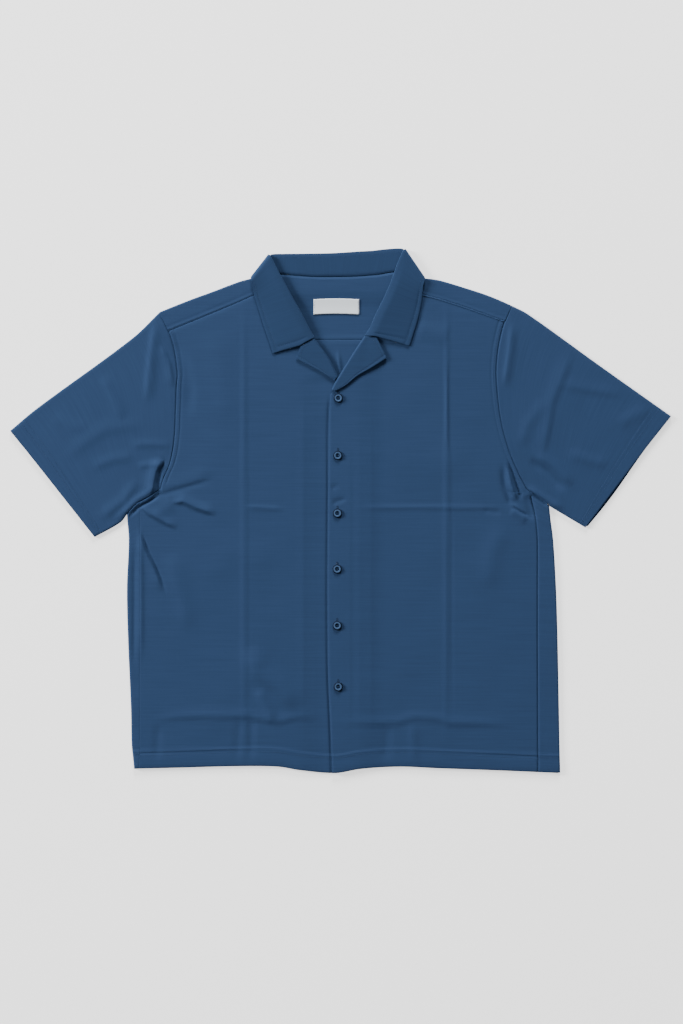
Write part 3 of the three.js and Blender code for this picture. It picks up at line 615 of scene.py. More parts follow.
def yoke_row(share):
    """One line of the yoke, from the front seam over the shoulder to the back seam."""

    def end(y):
        low = float(armhole["right"](y)) - 0.42 * max(y - ARMHOLE_TOP["right"], 0) + SEAM
        high = float(armhole["left"](y)) + 0.4 * max(y - ARMHOLE_TOP["left"], 0) - SEAM
        return low, high

    def settle(height):
        x = 0.0
        for _ in range(8):
            low, high = end(height(x))
            x = low + (high - low) * share
        return x

    seam_x = settle(lambda x: float(yoke_seam(x)))
    fold_x = settle(lambda x: float(shoulder_fold(x)))
    back_x = settle(lambda x: 238.7)
    fold = float(shoulder_fold(fold_x))
    seam = float(yoke_seam(seam_x)) + SEAM / 2
    in_neck = NECK_SIDES[0] < fold_x < NECK_SIDES[1]
    s = np.array([0, 0.015, 0.035, 0.07, 0.1, 0.13, 0.17, 0.22, 0.3, 0.4, 0.5, 0.6, 0.7, 0.8, 0.9, 1])
    y = seam + (fold - YOKE_FOLD_IN - seam) * s
    x = seam_x + (fold_x - seam_x) * s
    height = upper_height(x, y) - YOKE_EDGE_DIP * np.exp(-(((y - seam) / DIP_WIDTH) ** 2))
    height -= TOPSTITCH_DIP * np.exp(-(((y - seam - TOPSTITCH_IN) / DIP_WIDTH) ** 2))
    flap = np.column_stack([x, y, height])
    top = float(upper_height(fold_x, fold))
    turn = fold_turn((fold_x, fold), (0, -1), top, float(yoke_floor(fold_x, fold)))
    start = float(back_neck(fold_x)) + 0.55 if in_neck else fold - YOKE_FOLD_IN
    s = np.concatenate([np.linspace(0, 0.9, 20), [0.93, 0.955, 0.975, 0.988, 0.995, 1]])
    y = start + (YOKE_END - start) * s
    x = fold_x + (back_x - fold_x) * s
    seam_ply = SEAM_PLY * (1 - ease(y, 243.7, 245.7)) * ease(y, YOKE_END, 240)
    return np.vstack([flap, turn, np.column_stack([x, y, yoke_floor(x, y) + seam_ply])]), in_neck


near_end = np.array([0, 0.002, 0.005, 0.009])
yoke_shares = np.concatenate([near_end, np.linspace(0.014, 0.986, 130), [0.991, 0.995, 0.998, 1]])
yoke_rows = [yoke_row(share) for share in yoke_shares]
yoke_points = np.stack([row for row, _ in yoke_rows])
yoke_cut = np.zeros(yoke_points.shape[:2], bool)
FLAP_AND_TURN = 25
yoke_cut[np.array([inside for _, inside in yoke_rows]), :FLAP_AND_TURN] = True
yoke_sheet = grid_mesh(yoke_points, yoke_points[:, :, :2] * MM, yoke_cut, facing=(0, 0, 1), at=(20, 5))
yoke = cloth_piece("yoke_cloth", [yoke_sheet], CLOTH, body_knit)
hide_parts("yoke")
shoulder_rows = [yoke_points[:28, 4], yoke_points[-28:, 4]]
yoke_stitches = stitches("yoke_stitches", shoulder_rows)

# Fronts: two panels of the same knit. The wearer's left one lies over the right one at the
# buttons. Each turns back over the roll edge as the under ply of its lapel, and has a
# twin-stitched hem.
# The front edges, as places up and across.
PLACKET = {
    "right": [(-370, 7), (160, 7), (172, 3), (180, -1.5), (188.3, -6.9), (212.1, -19.4), (237, -37),
              (238.6, -39), (241.2, -50), (243.8, -52), (253.5, -60), (272.5, -72), (291, -86),
              (308.5, -100), (320, -109)],
    "left": [(-370, -11.4), (-297.5, -14), (-224, -16.9), (-105.7, -17.8), (11.9, -16.9), (159, -14.7),
             (164, -13.6), (168, -7.4), (172, -6.2), (186.5, 0.6), (210.3, 14.5), (235.9, 31),
             (239, 35.5), (241.6, 48.4), (244.5, 50.6), (256, 58), (271, 67.1), (289, 79.6),
             (309.5, 94.2), (320, 101)],
}
placket = {side: smooth(*zip(*places)) for side, places in PLACKET.items()}
TOP_EDGE = PLACKET["left"][:6] + [(172, -8)]
top_edge = smooth(*zip(*TOP_EDGE))
EDGE_DIP = 1.1
BEYOND_EDGE = 1.1
EDGE_DIP_WIDTH = 1.6
TOP_FRONT_RISE = 1.7


def right_front_height(x, y):
    """The under front sinks beneath the top one, and dips along its edge."""
    from_edge = (x - top_edge(y) + BEYOND_EDGE) / EDGE_DIP_WIDTH
    dip = EDGE_DIP * np.exp(-(from_edge ** 2)) * (1 - ease(y, 140, 160))
    return upper_height(x, y) - dip - ease(x, -60, -24) * (1 - 0.6 * ease(y, 182, 188))


def left_front_height(x, y):
    """The top front rises over the under one toward the buttons."""
    return upper_height(x, y) + TOP_FRONT_RISE * (1 - ease(x, 22, 62))


front_height = {"right": right_front_height, "left": left_front_height}
near_seam = np.array([0, 0.6, 1.4, 2.6, 4, 5.2, 6.1, 7, 7.9, 8.8, 10.2, 12.4, 15])
near_edge = np.array([31, 29, 27.5, 26.2, 25.1, 24.2, 23.4, 22.6, 21.8, 20.8, 19.4, 17, 14, 11,
                      9, 8, 7, 6.2, 5.4, 4.5, 3.2, 2, 1.1, 0.4, 0])
PANEL = 280
front_shares = np.concatenate([
    near_seam,
    np.arange(17, 100, 1.5),
    np.linspace(102, PANEL - 33.5, 40),
    PANEL - near_edge,
]) / PANEL
front_rises = (
    hem_rows
    + list(np.linspace(36, 228, 46))
    + list(np.arange(230, 448, 1.8))
    + list(np.linspace(452, 522, 18))
    + list(np.linspace(525.5, 590, 18))
)
front_edge_ys = (
    list(np.linspace(226, 236, 3))
    + [238.8, 240, 241.4, 242.8, 244.2, 248, 252, 257]
    + list(np.linspace(263, 307, 12))
    + [308.3, 309]
)
SEAM_DEPTH = 1.1
EDGE_DEPTH = 0.4
EDGE_WIDTH = 1.1
ARMHOLE_STITCHES_IN = 7.2
ARMHOLE_STITCHES_FROM = 34
UNDERARM_TOP = 30.15
SEAM_CORNER = {"right": 11.3, "left": 21.5}


def front_points(side):
    """Rows of the panel, straight across from the side seam or armhole to the front edge."""
    sign = 1 if side == "right" else -1
    edge_x = placket[side]
    corner = SEAM_CORNER[side]

    def outer(y):
        if y < corner:
            return float(side_seam[side](y)) + sign * SEAM / 2
        if y < UNDERARM_TOP:
            return float(underarm[side](y)) + sign * SEAM
        return float(armhole[side](y)) + sign * SEAM

    def top(x):
        return yoke_seam(x) - SEAM / 2

    foot = float(hem(edge_x(-366)))
    rows = []
    for y_in in [foot + rise for rise in front_rises] + front_edge_ys:
        inner = float(edge_x(y_in))
        rise = max((y_in - float(hem(inner))) / (float(top(inner)) - float(hem(inner))), 0)
        if y_in == front_edge_ys[-1]:
            rise = 1
        x_out = outer(y_in)
        for _ in range(40):
            level = float(hem(x_out) + (top(x_out) - hem(x_out)) * rise)
            x_out = 0.6 * x_out + 0.4 * outer(level)
        x = x_out + (inner - x_out) * front_shares
        y = hem(x) + (top(x) - hem(x)) * rise
        height = front_height[side](x, y)
        from_side = np.abs(x - x_out)
        from_edge = np.abs(inner - x)
        under_top = yoke_seam(x) - y
        height += hem_relief(y - hem(x))
        rolled = 0.1 if side == "right" and y[0] < corner else SEAM_DEPTH
        height -= rolled * np.exp(-((from_side / SEAM_WIDTH) ** 2))
        height -= EDGE_DEPTH * np.exp(-((from_edge / EDGE_WIDTH) ** 2))
        height -= EDGE_DEPTH * np.exp(-((under_top / DIP_WIDTH) ** 2))
        if y[0] > ARMHOLE_STITCHES_FROM:
            height -= EDGE_DEPTH * np.exp(-(((from_side - ARMHOLE_STITCHES_IN) / DIP_WIDTH) ** 2))
        rows.append(np.column_stack([x, y, height]))
    return np.stack(rows)


def plan_curve(places):
    """A smooth curve in plan, read by its share of the way along."""
    places = np.array(places, float)
    gone = path_length(places)
    fine = np.linspace(0, gone[-1], 300)
    track = np.column_stack([smooth(gone, places[:, 0])(fine), smooth(gone, places[:, 1])(fine)])
    share = path_length(track)
    share = share / share[-1]
    return lambda s: np.array([np.interp(s, share, track[:, 0]), np.interp(s, share, track[:, 1])])


# Each lapel's roll edge, lower edge and notch, in plan.
LAPELS = {
    "right": {
        "roll": plan_curve([(-4, 187.8), (-16, 212.1), (-34.2, 237.7), (-36.6, 241)]),
        "lower": plan_curve([(-8.2, 181.6), (-23.2, 191.9), (-45.2, 203.8), (-61.7, 211.8)]),
        "notch": np.array([-55.9, 229.6]),
    },
    "left": {
        "roll": plan_curve([(-12.2, 169.5), (-8.5, 177.4), (-3.1, 186.5), (11.5, 210.3),
                            (28, 235.9), (33.2, 243.4)]),
        "lower": plan_curve([(-8.2, 166.8), (7.8, 175.6), (22.5, 187.5), (44.5, 200.2), (64.7, 213.1)]),
        "notch": np.array([50.8, 241.8]),
    },
}


def lapel_plan(side, up, across):
    """A place on the turned lapel: up its roll edge, and across to its outer edge."""
    lapel = LAPELS[side]
    top = lapel["roll"](1)
    tip = lapel["lower"](1)
    notch = lapel["notch"]
    first = np.linalg.norm(notch - top)
    bend = first / (first + np.linalg.norm(tip - notch))
    if across < bend:
        edge = top + (notch - top) * across / bend
    else:
        edge = notch + (tip - notch) * (across - bend) / (1 - bend)
    kink = (edge - top - (tip - top) * across) * up ** 3
    return lapel["roll"](up) * (1 - across) + lapel["lower"](up) * across + kink


lapel_ups = [0, 0.006, 0.015, 0.03, *np.linspace(0.05, 0.93, 34), 0.95, 0.965, 0.98, 0.992, 1]
lapel_shares = [*np.linspace(0, 0.8, 16), 0.85, 0.885, 0.91, 0.935, 0.96, 0.98, 0.993, 1]


def lapel_points(side, under, inset, below, above, reach):
    """One ply of the lapel: under the roll edge, round it, and out to the lapel's edge."""
    height = front_height[side]
    radius = (above - below) / 2
    rows = []
    for up in lapel_ups:
        edge = lapel_plan(side, up, 0)
        width = np.linalg.norm(lapel_plan(side, up, 1) - edge)
        outward = (lapel_plan(side, up, 1) - edge) / width
        base = float(height(*edge))
        middle = edge + outward * (inset + radius)
        turn = []
        for angle in np.radians(np.linspace(-90, 90, 11)):
            place = middle - outward * radius * math.cos(angle)
            turn.append([*place, base + (below + above) / 2 + radius * math.sin(angle)])
        start = [[*(edge + outward * under), base + below]]
        first = min((inset + radius) / width, 0.85)
        leaf = []
        for share in lapel_shares[1:]:
            place = lapel_plan(side, up, first + (reach - first) * share)
            leaf.append([*place, max(float(height(*place)), base - 0.4) + above])
        rows.append(start + turn + leaf)
    return np.array(rows)


PLY_REST = 0.35
for side, flat, area in (("right", (0.292, 0.676), 0.172), ("left", (0.296, 0.676), 0.176)):
    points = front_points(side)
    ply = lapel_points(side, 7, 2.3, -0.1, PLY_REST, 0.985)
    sheets = [
        grid_mesh(points, points[:, :, :2] * MM, facing=(0, 0, 1), at=(60, 40)),
        grid_mesh(ply, ply[:, :, :2] * MM, facing=(0, 0, -1), at=(20, 20)),
    ]
    panel = cloth_piece(f"front_{side}_cloth", sheets, CLOTH, body_knit)
    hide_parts(f"front_{side}")
    armhole_from = int(np.argmax(points[:, 0, 1] > ARMHOLE_STITCHES_FROM))
    paths = [points[i] for i in hem_lines(front_rises)] + [points[armhole_from:, 7]]
    sewn = stitches(f"front_{side}_stitches", paths)

# Sleeves: each is one piece of knit, sewn into a short tube, laid flat with its fold at the
# top and its seam below. The cuff is open, with a twin-stitched hem.
def armhole_curve(side):
    """The panels' own armhole, as a curve in plan from the shoulder to the underarm."""
    ys = np.linspace(ARMHOLE_TOP[side], ARMHOLE_FOOT[side], 40)
    return plan_curve([(float(armhole[side](y)), y) for y in ys])


def low_curve(side, beyond):
    """The sleeve's lower edge: first the panels' own underarm seam, then places beyond it."""
    ys = np.linspace(ARMHOLE_FOOT[side], CROTCH[side][1], 20)
    return plan_curve([(float(underarm[side](y)), y) for y in ys] + beyond)


# Each sleeve's edges in plan, its length, and how far its lower layer shows past the cuff.
SLEEVES = {
    "right": {
        "seam": armhole_curve("right"),
        "top": plan_curve([(-252.7, 277.9), (-291.1, 241.2), (-426, 142), (-462.3, 111.6)]),
        "low": low_curve("right", [(-308, -16.8), (-344.1, -37.2)]),
        "cuff": plan_curve([(-462.3, 111.6), (-431.5, 73.5), (-402.6, 37), (-344.1, -37.2)]),
        "length": 268,
        "peek": 0,
    },
    "left": {
        "seam": armhole_curve("left"),
        "top": plan_curve([(238.8, 287), (261.8, 275.1), (361, 204), (462.6, 132)]),
        "low": low_curve("left", [(342.6, -23.9)]),
        "cuff": plan_curve([(462.6, 132), (422, 80.5), (342.6, -23.9)]),
        "length": 272,
        "peek": 3.2,
    },
}
CUFF_ROWS = (36, 32, 29, 27.5, 26, 24.5, 23, 21.5, 19, 14, 8, 3.5, 1.6, 0.6, 0)
CUFF_RELIEF = 0.4


def sleeve_plan(sleeve, out, down):
    """A place on the sleeve: out from the armhole to the cuff, and down from the top fold."""
    seam, cuff, top, low = (sleeve[name] for name in ("seam", "cuff", "top", "low"))
    ruled = seam(down) * (1 - out) + cuff(down) * out
    sides = top(out) * (1 - down) + low(out) * down
    near = seam(0) * (1 - down) + seam(1) * down
    far = cuff(0) * (1 - down) + cuff(1) * down
    return ruled + sides - near * (1 - out) - far * out


def sleeve_points(sleeve):
    """Rings round the sleeve, from the armhole seam out to the cuff."""
    length = sleeve["length"]
    hem_out = [1 - rise / length for rise in CUFF_ROWS]
    near_out = [rise / length for rise in [0, 0.6, 1.4, 2.6] + list(np.arange(4.4, 70, 1.9))]
    outs = near_out + list(np.linspace(73 / length, 1 - 40 / length, 48)) + hem_out
    downs = np.linspace(0.022, 0.978, 112)
    rows = []
    for out in outs:
        upper = np.array([sleeve_plan(sleeve, out, down) for down in downs])
        from_cuff = (1 - out) * length
        height = upper_height(upper[:, 0], upper[:, 1])
        height += CUFF_RELIEF * hem_relief(from_cuff)
        height -= SEAM_DEPTH * math.exp(-((out * length / SEAM_WIDTH) ** 2))
        turns = []
        for down, near in ((0, 0.02), (1, 0.98)):
            edge = sleeve_plan(sleeve, out, down)
            inward = sleeve_plan(sleeve, out, near) - edge
            inward = inward / np.linalg.norm(inward)
            turns.append(fold_turn(edge, inward, float(upper_height(*edge)), 0))
        lower = np.array([sleeve_plan(sleeve, out, down) for down in downs[::-5]])
        peek = sleeve["peek"] * np.sin(np.pi * ease(downs[::-5], 0.2, 1.25)) * ease(out, 0.9, 1)
        lower += peek[:, None] * np.array([0.8, -0.6])
        rows.append(np.vstack([
            turns[0][::-1],
            np.column_stack([upper, height]),
            turns[1],
            np.column_stack([lower, np.zeros(len(lower))]),
            turns[0][-1:],
        ]))
    return np.stack(rows)


for side, flat, area in (("right", (0.51, 0.262), 0.0822), ("left", (0.52, 0.266), 0.0858)):
    points = sleeve_points(SLEEVES[side])
    sheet = grid_mesh(points, surface_grain(points, 48), ring=True, facing=(0, 0, 1), at=(40, 40))
    tube = cloth_piece(f"sleeve_{side}_cloth", [sheet], CLOTH, body_knit)
    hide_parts(f"sleeve_{side}")
    hems = [points[-7, 6:124], points[-11, 6:124]]
    sewn = stitches(f"sleeve_{side}_stitches", hems)

# Lapel facings: the ply of fused knit that shows on the turned lapels. Each is sewn to its
# front along the lapel's edge, turned, and topstitched close to that edge.
# The collar and facings are the body's knit in a darker colour; the darkening is painted shade.
COLLAR_SHADED_BLUE = (0.019, 0.0412, 0.0965)
shaded_collar_knit = knit("shaded_collar_knit", COLLAR_SHADED_BLUE, relief=0.25)
FACING = 0.9
FACING_GAP = 0.42
FACING_EDGE_DIPS = np.array([0.35, 0.15, 0, 0, 0, 0.15, 0.5])
for side, flat, area in (("right", (0.062, 0.06), 0.0019), ("left", (0.078, 0.074), 0.0029)):
    above = PLY_REST + 1 + FACING_GAP + FACING
    points = lapel_points(side, 2.6, 0, -1.2 - FACING_GAP - FACING, above, 1)
    points[:, -7:, 2] -= FACING_EDGE_DIPS
    points[0, 12:, 2] -= 0.4
    sheet = grid_mesh(points, points[:, :, :2] * MM, facing=(0, 0, 1), at=(20, 20))
    facing = cloth_piece(f"facing_{side}_cloth", [sheet], FACING, shaded_collar_knit)
    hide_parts(f"facing_{side}")
    edge_rows = [points[3:-3, -7], points[-5, 16:-6]]
    sewn = stitches(f"facing_{side}_stitches", edge_rows)

# Collar: a one-piece camp collar of fused knit. Its stand rises inside the neck, rolls over,
# and falls outside. At the back the fall lies beneath, and at the front it shows as two leaves.
COLLAR_CLOTH = 1.8
COLLAR_MIDDLE = 5.0
# Each row has the neck seam, the roll line and the outer edge in plan, and the fall's height.
LEAF_ROWS = {
    "right": [
        ((-49.6, 242.2), (-36.2, 242.4), (-94.6, 219.8), 2.2),
        ((-58, 254), (-43.2, 254), (-100.2, 237), 2.8),
        ((-71, 273), (-54, 275), (-107.5, 258), 3.6),
        ((-84.6, 291), (-68, 300), (-115.6, 284), 4.4),
        ((-98.6, 308.5), (-82, 326), (-121.5, 304), 4.9),
        ((-109.5, 322), (-91.5, 344), (-123.8, 314), 5),
    ],
    "left": [
        ((47.6, 245.6), (34, 245.3), (96.6, 230), 3.4),
        ((56.4, 256.6), (40.6, 255), (102, 247), 3.8),
        ((65.8, 271.4), (48.5, 273.5), (107.5, 264.5), 4.3),
        ((78.2, 289.4), (60, 296.5), (112, 283), 4.6),
        ((92.8, 310), (71.5, 323), (114.7, 302), 4.9),
        ((101.8, 322), (79.5, 346), (115.6, 314), 5),
    ],
}
NOTCHES = {"right": (-56.2, 230.6), "left": (51.2, 242.9)}
SIDE_FOLDS = {"right": ((-98.8, 357), (-123.5, 329.5)), "left": ((88.8, 364.6), (115.8, 329.5))}
# Each row has the neck seam, the roll line and the outer edge in plan.
BACK_ROWS = [
    ((-106, 331.2), (-97, 358.4), (-112, 315)),
    ((-83, 330.7), (-80, 359.2), (-86, 313.5)),
    ((-60, 328.9), (-62, 359.4), (-63, 313)),
    ((-38, 327.3), (-45, 359.6), (-40, 313)),
    ((-10, 327.4), (-8.5, 360.4), (-10, 313)),
    ((17.1, 327.6), (25, 362.6), (24, 313.3)),
    ((36, 328.8), (44, 363.6), (44, 313.6)),
    ((53.6, 330.4), (60, 365.5), (62, 314)),
    ((75, 333.8), (82, 366.9), (86, 315)),
    ((97, 334.4), (88.5, 365.4), (105, 317)),
]
STAND_STEPS = np.array([0, 0.03, 0.07, 0.12, 0.22, 0.36, 0.52, 0.68, 0.84])
FALL_STEPS = np.array([*np.linspace(0.08, 0.8, 16), 0.84, 0.87, 0.89, 0.91, 0.935, 0.96, 0.98, 0.992, 1])
ROLL_DEPTH = COLLAR_MIDDLE - 0.7
ROLL_TIGHTNESS = 0.35
NECK_SEAM_DIP = 0.9
LEAF_SWELL = 1.8
SWELL_REACH = 11


def collar_section(neck, roll, edge, fall, axis, edge_rise=None, notch=None, swell=0):
    """Points across the collar: up the stand, over the roll, and down the fall."""
    neck, roll, edge = (np.array(place, float) for place in (neck, roll, edge))
    axis = np.array(axis, float)
    stand = fall - ROLL_DEPTH
    radius = (fall - stand) / 2
    tight = radius * ROLL_TIGHTNESS
    edge_rise = fall if edge_rise is None else edge_rise

    def lift(place, rise):
        return np.array([place[0], place[1], COLLAR_MIDDLE]) + axis * rise

    inward = (neck + edge) / 2 - roll
    inward = inward / np.linalg.norm(inward)
    middle = roll + inward * tight
    at_back = axis[2] < -0.9
    seam_dip = at_back * NECK_SEAM_DIP * (1 - ease(STAND_STEPS, 0, 0.1))
    leg = [lift(neck + (middle - neck) * s, stand + dip) for s, dip in zip(STAND_STEPS, seam_dip)]
    turn = []
    for angle in np.radians(np.linspace(-90, 90, 11)):
        place = middle - inward * tight * math.cos(angle)
        turn.append(lift(place, stand + radius + radius * math.sin(angle)))
    if notch is None:
        places = [middle + (edge - middle) * s for s in FALL_STEPS]
    else:
        via = np.vstack([middle, np.array(notch, float), edge])
        gone = path_length(via)
        along = FALL_STEPS * gone[-1]
        places = np.column_stack([np.interp(along, gone, via[:, k]) for k in (0, 1)])
    fallen = []
    for place, s in zip(places, FALL_STEPS):
        puff = swell * float(ease(np.linalg.norm(place - middle), 0, SWELL_REACH))
        fallen.append(lift(place, fall + (edge_rise - fall) * s + puff * (1 - s)))
    return np.array(leg + turn + fallen)


def leaf_sections(side):
    """Sections of a front leaf, which rests on its front panel at the outer edge."""
    sections = []
    for i, (neck, roll, edge, fall) in enumerate(LEAF_ROWS[side]):
        rest = float(front_height[side](*edge)) + 0.3 + COLLAR_CLOTH - COLLAR_MIDDLE
        settled = rest + (fall - rest) * float(ease(i, 3, 6))
        notch = NOTCHES[side] if i == 0 else None
        swell = LEAF_SWELL * (1 - float(ease(i, 3, 6)))
        sections.append(collar_section(neck, roll, edge, fall, (0, 0, 1), settled, notch, swell))
    return sections


def side_fold_sections(side):
    """Sections round the fold beside the neck, where the collar turns from front to back."""
    start, low = (np.array(place) for place in SIDE_FOLDS[side])
    down = low - start
    inward = np.array([-down[1], down[0]]) / np.linalg.norm(down)
    inward = inward * (1 if inward[0] * -start[0] > 0 else -1)

    def along(share):
        return start + down * share + inward * COLLAR_MIDDLE * min(0.45 + share, 1)

    sections = []
    for degrees in (90, 67.5, 45, 22.5, 0, -22.5, -45, -67.5, -90):
        angle = math.radians(degrees)
        axis = (*(-inward * math.cos(angle)), math.sin(angle))
        edge = along(0.92 + 0.28 * (degrees + 90) / 180)
        sections.append(collar_section(along(0.9), along(0), edge, COLLAR_MIDDLE, axis))
    return sections


back_sections = [collar_section(*row, COLLAR_MIDDLE, (0, 0, -1)) for row in BACK_ROWS]
sections = np.stack(leaf_sections("right") + side_fold_sections("right") + back_sections
                    + side_fold_sections("left")[::-1] + leaf_sections("left")[::-1])
gone = path_length(sections.mean(axis=1))
end_steps = np.array([0, 0.5, 1.2, 2.2, 3.6, 5, 6, 7, 9])
fine = np.concatenate([end_steps, np.linspace(11, gone[-1] - 11, 230), gone[-1] - end_steps[::-1]])
collar_points = np.empty((len(fine), *sections.shape[1:]))
for j in range(sections.shape[1]):
    for k in range(3):
        collar_points[:, j, k] = smooth(gone, sections[:, j, k])(fine)
collar_points[:, :, 2] = np.maximum(collar_points[:, :, 2], 0)

# The two corners where the fold meets the back roll are held off the surface.
CORNER_REACH = 9
for corner, _ in SIDE_FOLDS.values():
    from_corner = np.hypot(collar_points[:, :, 0] - corner[0], collar_points[:, :, 1] - corner[1])
    near_corner = from_corner < CORNER_REACH
    low = near_corner & (collar_points[:, :, 2] < COLLAR_CLOTH)
    collar_points[:, :, 2] = np.where(low, COLLAR_CLOTH, collar_points[:, :, 2])

# Topstitching presses a shallow line into the leaves, inside their edges and their ends.
on_leaf = (1 - ease(fine, 75, 95)) + ease(fine, gone[-1] - 95, gone[-1] - 75)
for column, depth in ((-8, 0.15), (-7, 0.4), (-6, 0.15), (-2, 0.12), (-1, 0.4)):
    collar_points[:, column, 2] -= depth * on_leaf
for row, depth in ((0, 0.4), (1, 0.12), (5, 0.15), (6, 0.4), (7, 0.15)):
    collar_points[row, 22:-8, 2] -= depth
    collar_points[-1 - row, 22:-8, 2] -= depth
collar_sheet = grid_mesh(collar_points, surface_grain(collar_points, 14), facing=(0, 0, 1), at=(20, 35))
collar = cloth_piece("collar_cloth", [collar_sheet], COLLAR_CLOTH, shaded_collar_knit)
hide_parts("collar")
leaf_edges = [collar_points[6:62, -7], collar_points[-62:-6, -7]]
leaf_edges += [collar_points[6, 28:-6], collar_points[-7, 28:-6]]
collar_stitches = stitches("collar_stitches", leaf_edges)

# Neck label: a blank tab of woven satin tape with turned ends, tacked at both ends to the
# inside of the yoke.
LABEL = {"x0": -37.6, "x1": 26, "y0": 274.4, "y1": 295.4}
LABEL_TAPE = 0.6
LABEL_REST = 1.2
LABEL_GAP = 0.3
LABEL_BOW = 1.1
LABEL_LIFT = 0.15
label_rows = []
for y in np.linspace(LABEL["y0"], LABEL["y1"], 18):
    x = np.linspace(LABEL["x0"], LABEL["x1"], 48)
    middle = np.sin(np.pi * (x - LABEL["x0"]) / (LABEL["x1"] - LABEL["x0"]))
    lift = LABEL_LIFT * middle * math.sin(math.pi * (y - LABEL["y0"]) / (LABEL["y1"] - LABEL["y0"]))
    height = yoke_floor(x, y) + LABEL_REST + LABEL_GAP + LABEL_TAPE + lift
    label_rows.append(np.column_stack([x, y + LABEL_BOW * middle, height]))
label_points = np.stack(label_rows)
satin = Finish("label_satin", Roughness=0.5, Sheen_Weight=0.15)
picks = satin.grain((2600, 700, 1))
threads, shades = satin.mottle(picks, (0.78, 0.85, 0.92), (0.85, 0.91, 0.96), Scale=1)
satin.link(shades.outputs["Color"], satin.shader.inputs["Base Color"])
satin.link(satin.bump(threads, 0.2, 0.0001), satin.shader.inputs["Normal"])
label_sheet = grid_mesh(label_points, label_points[:, :, :2] * MM, facing=(0, 0, 1), at=(8, 20))
label = cloth_piece("neck_label", [label_sheet], LABEL_TAPE, satin.material)
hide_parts("label")
tacked_ends = [label_points[:, 1], label_points[:, -2]]
label_tacks = stitches("label_tacks", tacked_ends, pitch=2.2, length=1.6)

# Buttons: four-hole shirt buttons of dyed resin with a raised rim, sewn on with two bars of
# thread. Each sits at the low end of its upright buttonhole, worked in the top front.
BUTTONS = [(-3.1, 157.2), (-3.8, 76.9), (-4.3, -3.8), (-4.6, -81.9), (-4.6, -160.9), (-3.1, -246.4)]
# Half of the button's section, as radius and height.
BUTTON_PROFILE = [(0.01, 0), (5.2, 0), (6.1, 0.3), (6.4, 0.8), (6.3, 1.2), (5.8, 1.7), (5.3, 2.3),
                  (5.0, 2.55), (4.6, 2.6), (3.5, 2.6), (3.15, 2.5), (2.95, 2.1), (2.85, 1.5),
                  (2.5, 1.35), (0.01, 1.35)]
# Radii of the raised ring that takes the painted highlight.
HIGHLIGHT_RING = (2.8, 4.95)
WELL_FLOOR = 1.35
HOLE_SPACING = 1.3
HOLE_RADIUS = 0.85
BAR_HALF = 1.9
SLOT_LOW = -4.5
SLOT_HIGH = 9.6
SLOT_HALF = 0.9
BUTTONHOLE_BLUE = (0.014, 0.032, 0.076)
buttonhole_thread = thread_material("buttonhole_thread", BUTTONHOLE_BLUE)


def resin_material(name, dark, light):
    """Dull dyed resin with a faint swirl."""
    return mottled_material(name, dark, light, 0.75, 0.12, Scale=220, Distortion=1.2)


def solid_piece(name, shape, *materials):
    """A closed piece, with its faces turned outwards."""
    bmesh.ops.recalc_face_normals(shape, faces=shape.faces)
    return add_piece(name, shape, *materials)


# One resin in three shades. The near-black on the rim, sides and base and the dark in the well are painted
# shade, and the pale on the raised ring is painted highlight.
resin = resin_material("button_rim_shade_resin", (0.001, 0.004, 0.015), (0.002, 0.007, 0.023))
well_shade_resin = resin_material("button_well_shade_resin", (0.005, 0.015, 0.044), (0.008, 0.021, 0.057))
ring_highlight_resin = resin_material("button_ring_highlight_resin", (0.042, 0.084, 0.172), (0.054, 0.102, 0.2))
disc = bmesh.new()
ring = [disc.verts.new((radius * MM, 0, z * MM)) for radius, z in BUTTON_PROFILE]
edges = [disc.edges.new(pair) for pair in zip(ring, ring[1:])]
bmesh.ops.spin(disc, geom=ring + edges, cent=(0, 0, 0), axis=(0, 0, 1), angle=2 * math.pi, steps=40,
               use_merge=True)
bmesh.ops.remove_doubles(disc, verts=disc.verts, dist=2e-5)
open_ends = [edge for edge in disc.edges if edge.is_boundary]
if open_ends:
    bmesh.ops.contextual_create(disc, geom=open_ends)
blank = solid_piece("button_blank", disc, resin)
drill = bmesh.new()
for dx in (-HOLE_SPACING, HOLE_SPACING):
    for dy in (-HOLE_SPACING, HOLE_SPACING):
        hole = Matrix.Translation((dx * MM, dy * MM, 0))
        bmesh.ops.create_cone(drill, cap_ends=True, segments=14, radius1=HOLE_RADIUS * MM,
                              radius2=HOLE_RADIUS * MM, depth=8 * MM, matrix=hole)
bits = solid_piece("button_drill", drill, resin)
drilled = blank.modifiers.new("holes", "BOOLEAN")
drilled.operation = "DIFFERENCE"
drilled.object = bits
drilled.solver = "EXACT"
settled = bpy.context.evaluated_depsgraph_get()
drilled_mesh = bpy.data.meshes.new_from_object(blank.evaluated_get(settled))
bpy.data.objects.remove(bits)
bpy.data.objects.remove(blank)

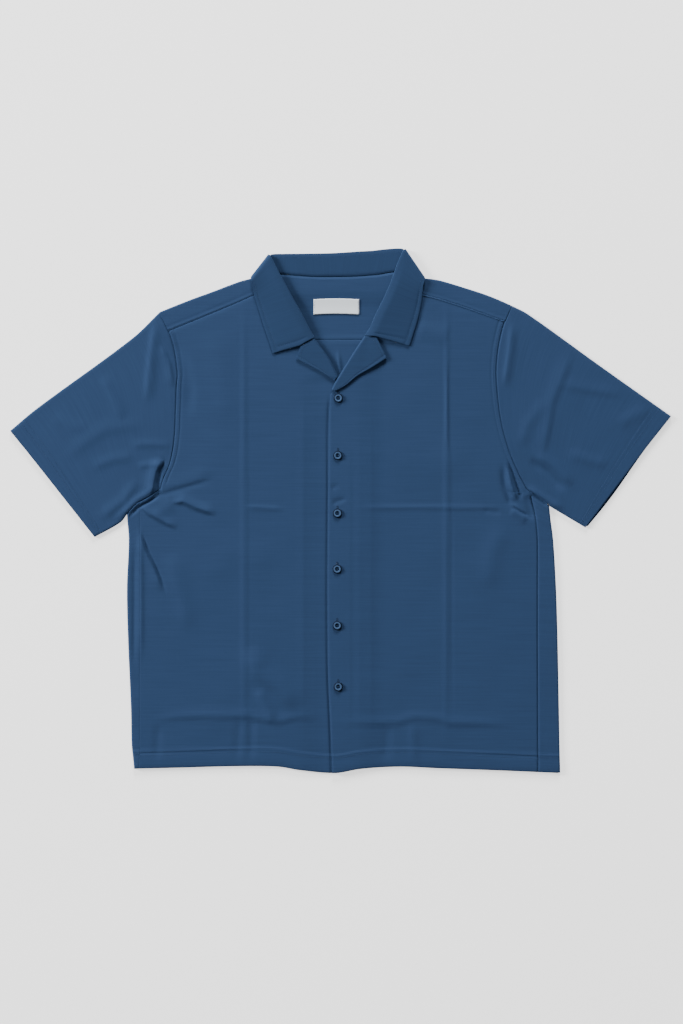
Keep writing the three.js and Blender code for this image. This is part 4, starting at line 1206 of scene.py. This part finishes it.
for number, (x, y) in enumerate(BUTTONS, start=1):
    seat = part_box(f"button_{number}")[0][2]
    body = bmesh.new()
    body.from_mesh(drilled_mesh)
    for face in body.faces:
        centre = face.calc_center_median() / MM
        radius = math.hypot(centre.x, centre.y)
        # Faces of the raised ring take the painted highlight, and faces in the well take the painted shade.
        if centre.z > 1.2 and radius < HIGHLIGHT_RING[1]:
            face.material_index = 1 if radius > HIGHLIGHT_RING[0] else 2
        face.smooth = abs(face.normal.z) < 0.98
    bmesh.ops.translate(body, vec=(x * MM, y * MM, seat), verts=body.verts)
    button = solid_piece(f"button_{number}_resin", body, resin, ring_highlight_resin, well_shade_resin)
    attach(button, "root")
    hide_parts(f"button_{number}")
    # Two bars of thread cross the well, from hole to hole.
    over_well = seat / MM + WELL_FLOOR + 0.2
    bars = [np.array([[x + a, y - BAR_HALF, over_well], [x + a, y + BAR_HALF, over_well]])
            for a in (-HOLE_SPACING, HOLE_SPACING)]
    stitches(f"button_{number}_thread", bars, pitch=3.79, length=3.6, width=0.9)
    # The slot is worked along both sides, with a bar across each end.
    top_front = float(left_front_height(np.array(x), np.array(y)))
    slot_sides = [np.array([[x + a, y + SLOT_LOW, top_front], [x + a, y + SLOT_HIGH, top_front]])
                  for a in (-SLOT_HALF, SLOT_HALF)]
    slot_ends = [np.array([[x - 1.3, y + b, top_front], [x + 1.3, y + b, top_front]])
                 for b in (SLOT_LOW - 0.5, SLOT_HIGH + 0.5)]
    stitches(f"buttonhole_{number}", slot_sides, pitch=0.55, length=0.75, width=1.5,
             yarn=buttonhole_thread)
    stitches(f"buttonhole_{number}_bars", slot_ends, pitch=0.6, length=0.9, width=1.1,
             yarn=buttonhole_thread)

# Studio: a plain pale surface under the shirt, a large soft lamp up and to the left, and an
# even pale surround.
SURFACE_SIZE = 14
SURFACE_DROP = 0.0002
SOFTBOX_SIZE = 1.9
pale = Finish("pale_surface", Roughness=0.9, Base_Color=(0.9, 0.9, 0.9, 1),
              Emission_Color=(1, 1, 1, 1), Emission_Strength=1.2)
surface = bmesh.new()
bmesh.ops.create_grid(surface, x_segments=1, y_segments=1, size=SURFACE_SIZE)
floor = add_piece("surface", surface, pale.material)
floor.location.z = -SURFACE_DROP


def softbox(name, place, power):
    """A square soft lamp, aimed at the middle of the shirt."""
    lamp = bpy.data.lights.new(name, "AREA")
    lamp.shape = "SQUARE"
    lamp.size = SOFTBOX_SIZE
    lamp.energy = power
    holder = bpy.data.objects.new(name, lamp)
    holder.location = place
    holder.rotation_euler = Vector(place).to_track_quat("Z", "Y").to_euler()
    bpy.context.scene.collection.objects.link(holder)


softbox("key", (-5.7, 2.1, 2.6), power=690)
softbox("top", (0.3, 6.1, 2.6), power=560)
world = bpy.data.worlds.new("surround")
bpy.context.scene.world = world
world.use_nodes = True
world.node_tree.nodes["Background"].inputs["Color"].default_value = (1, 1, 1, 1)
world.node_tree.nodes["Background"].inputs["Strength"].default_value = 0.25
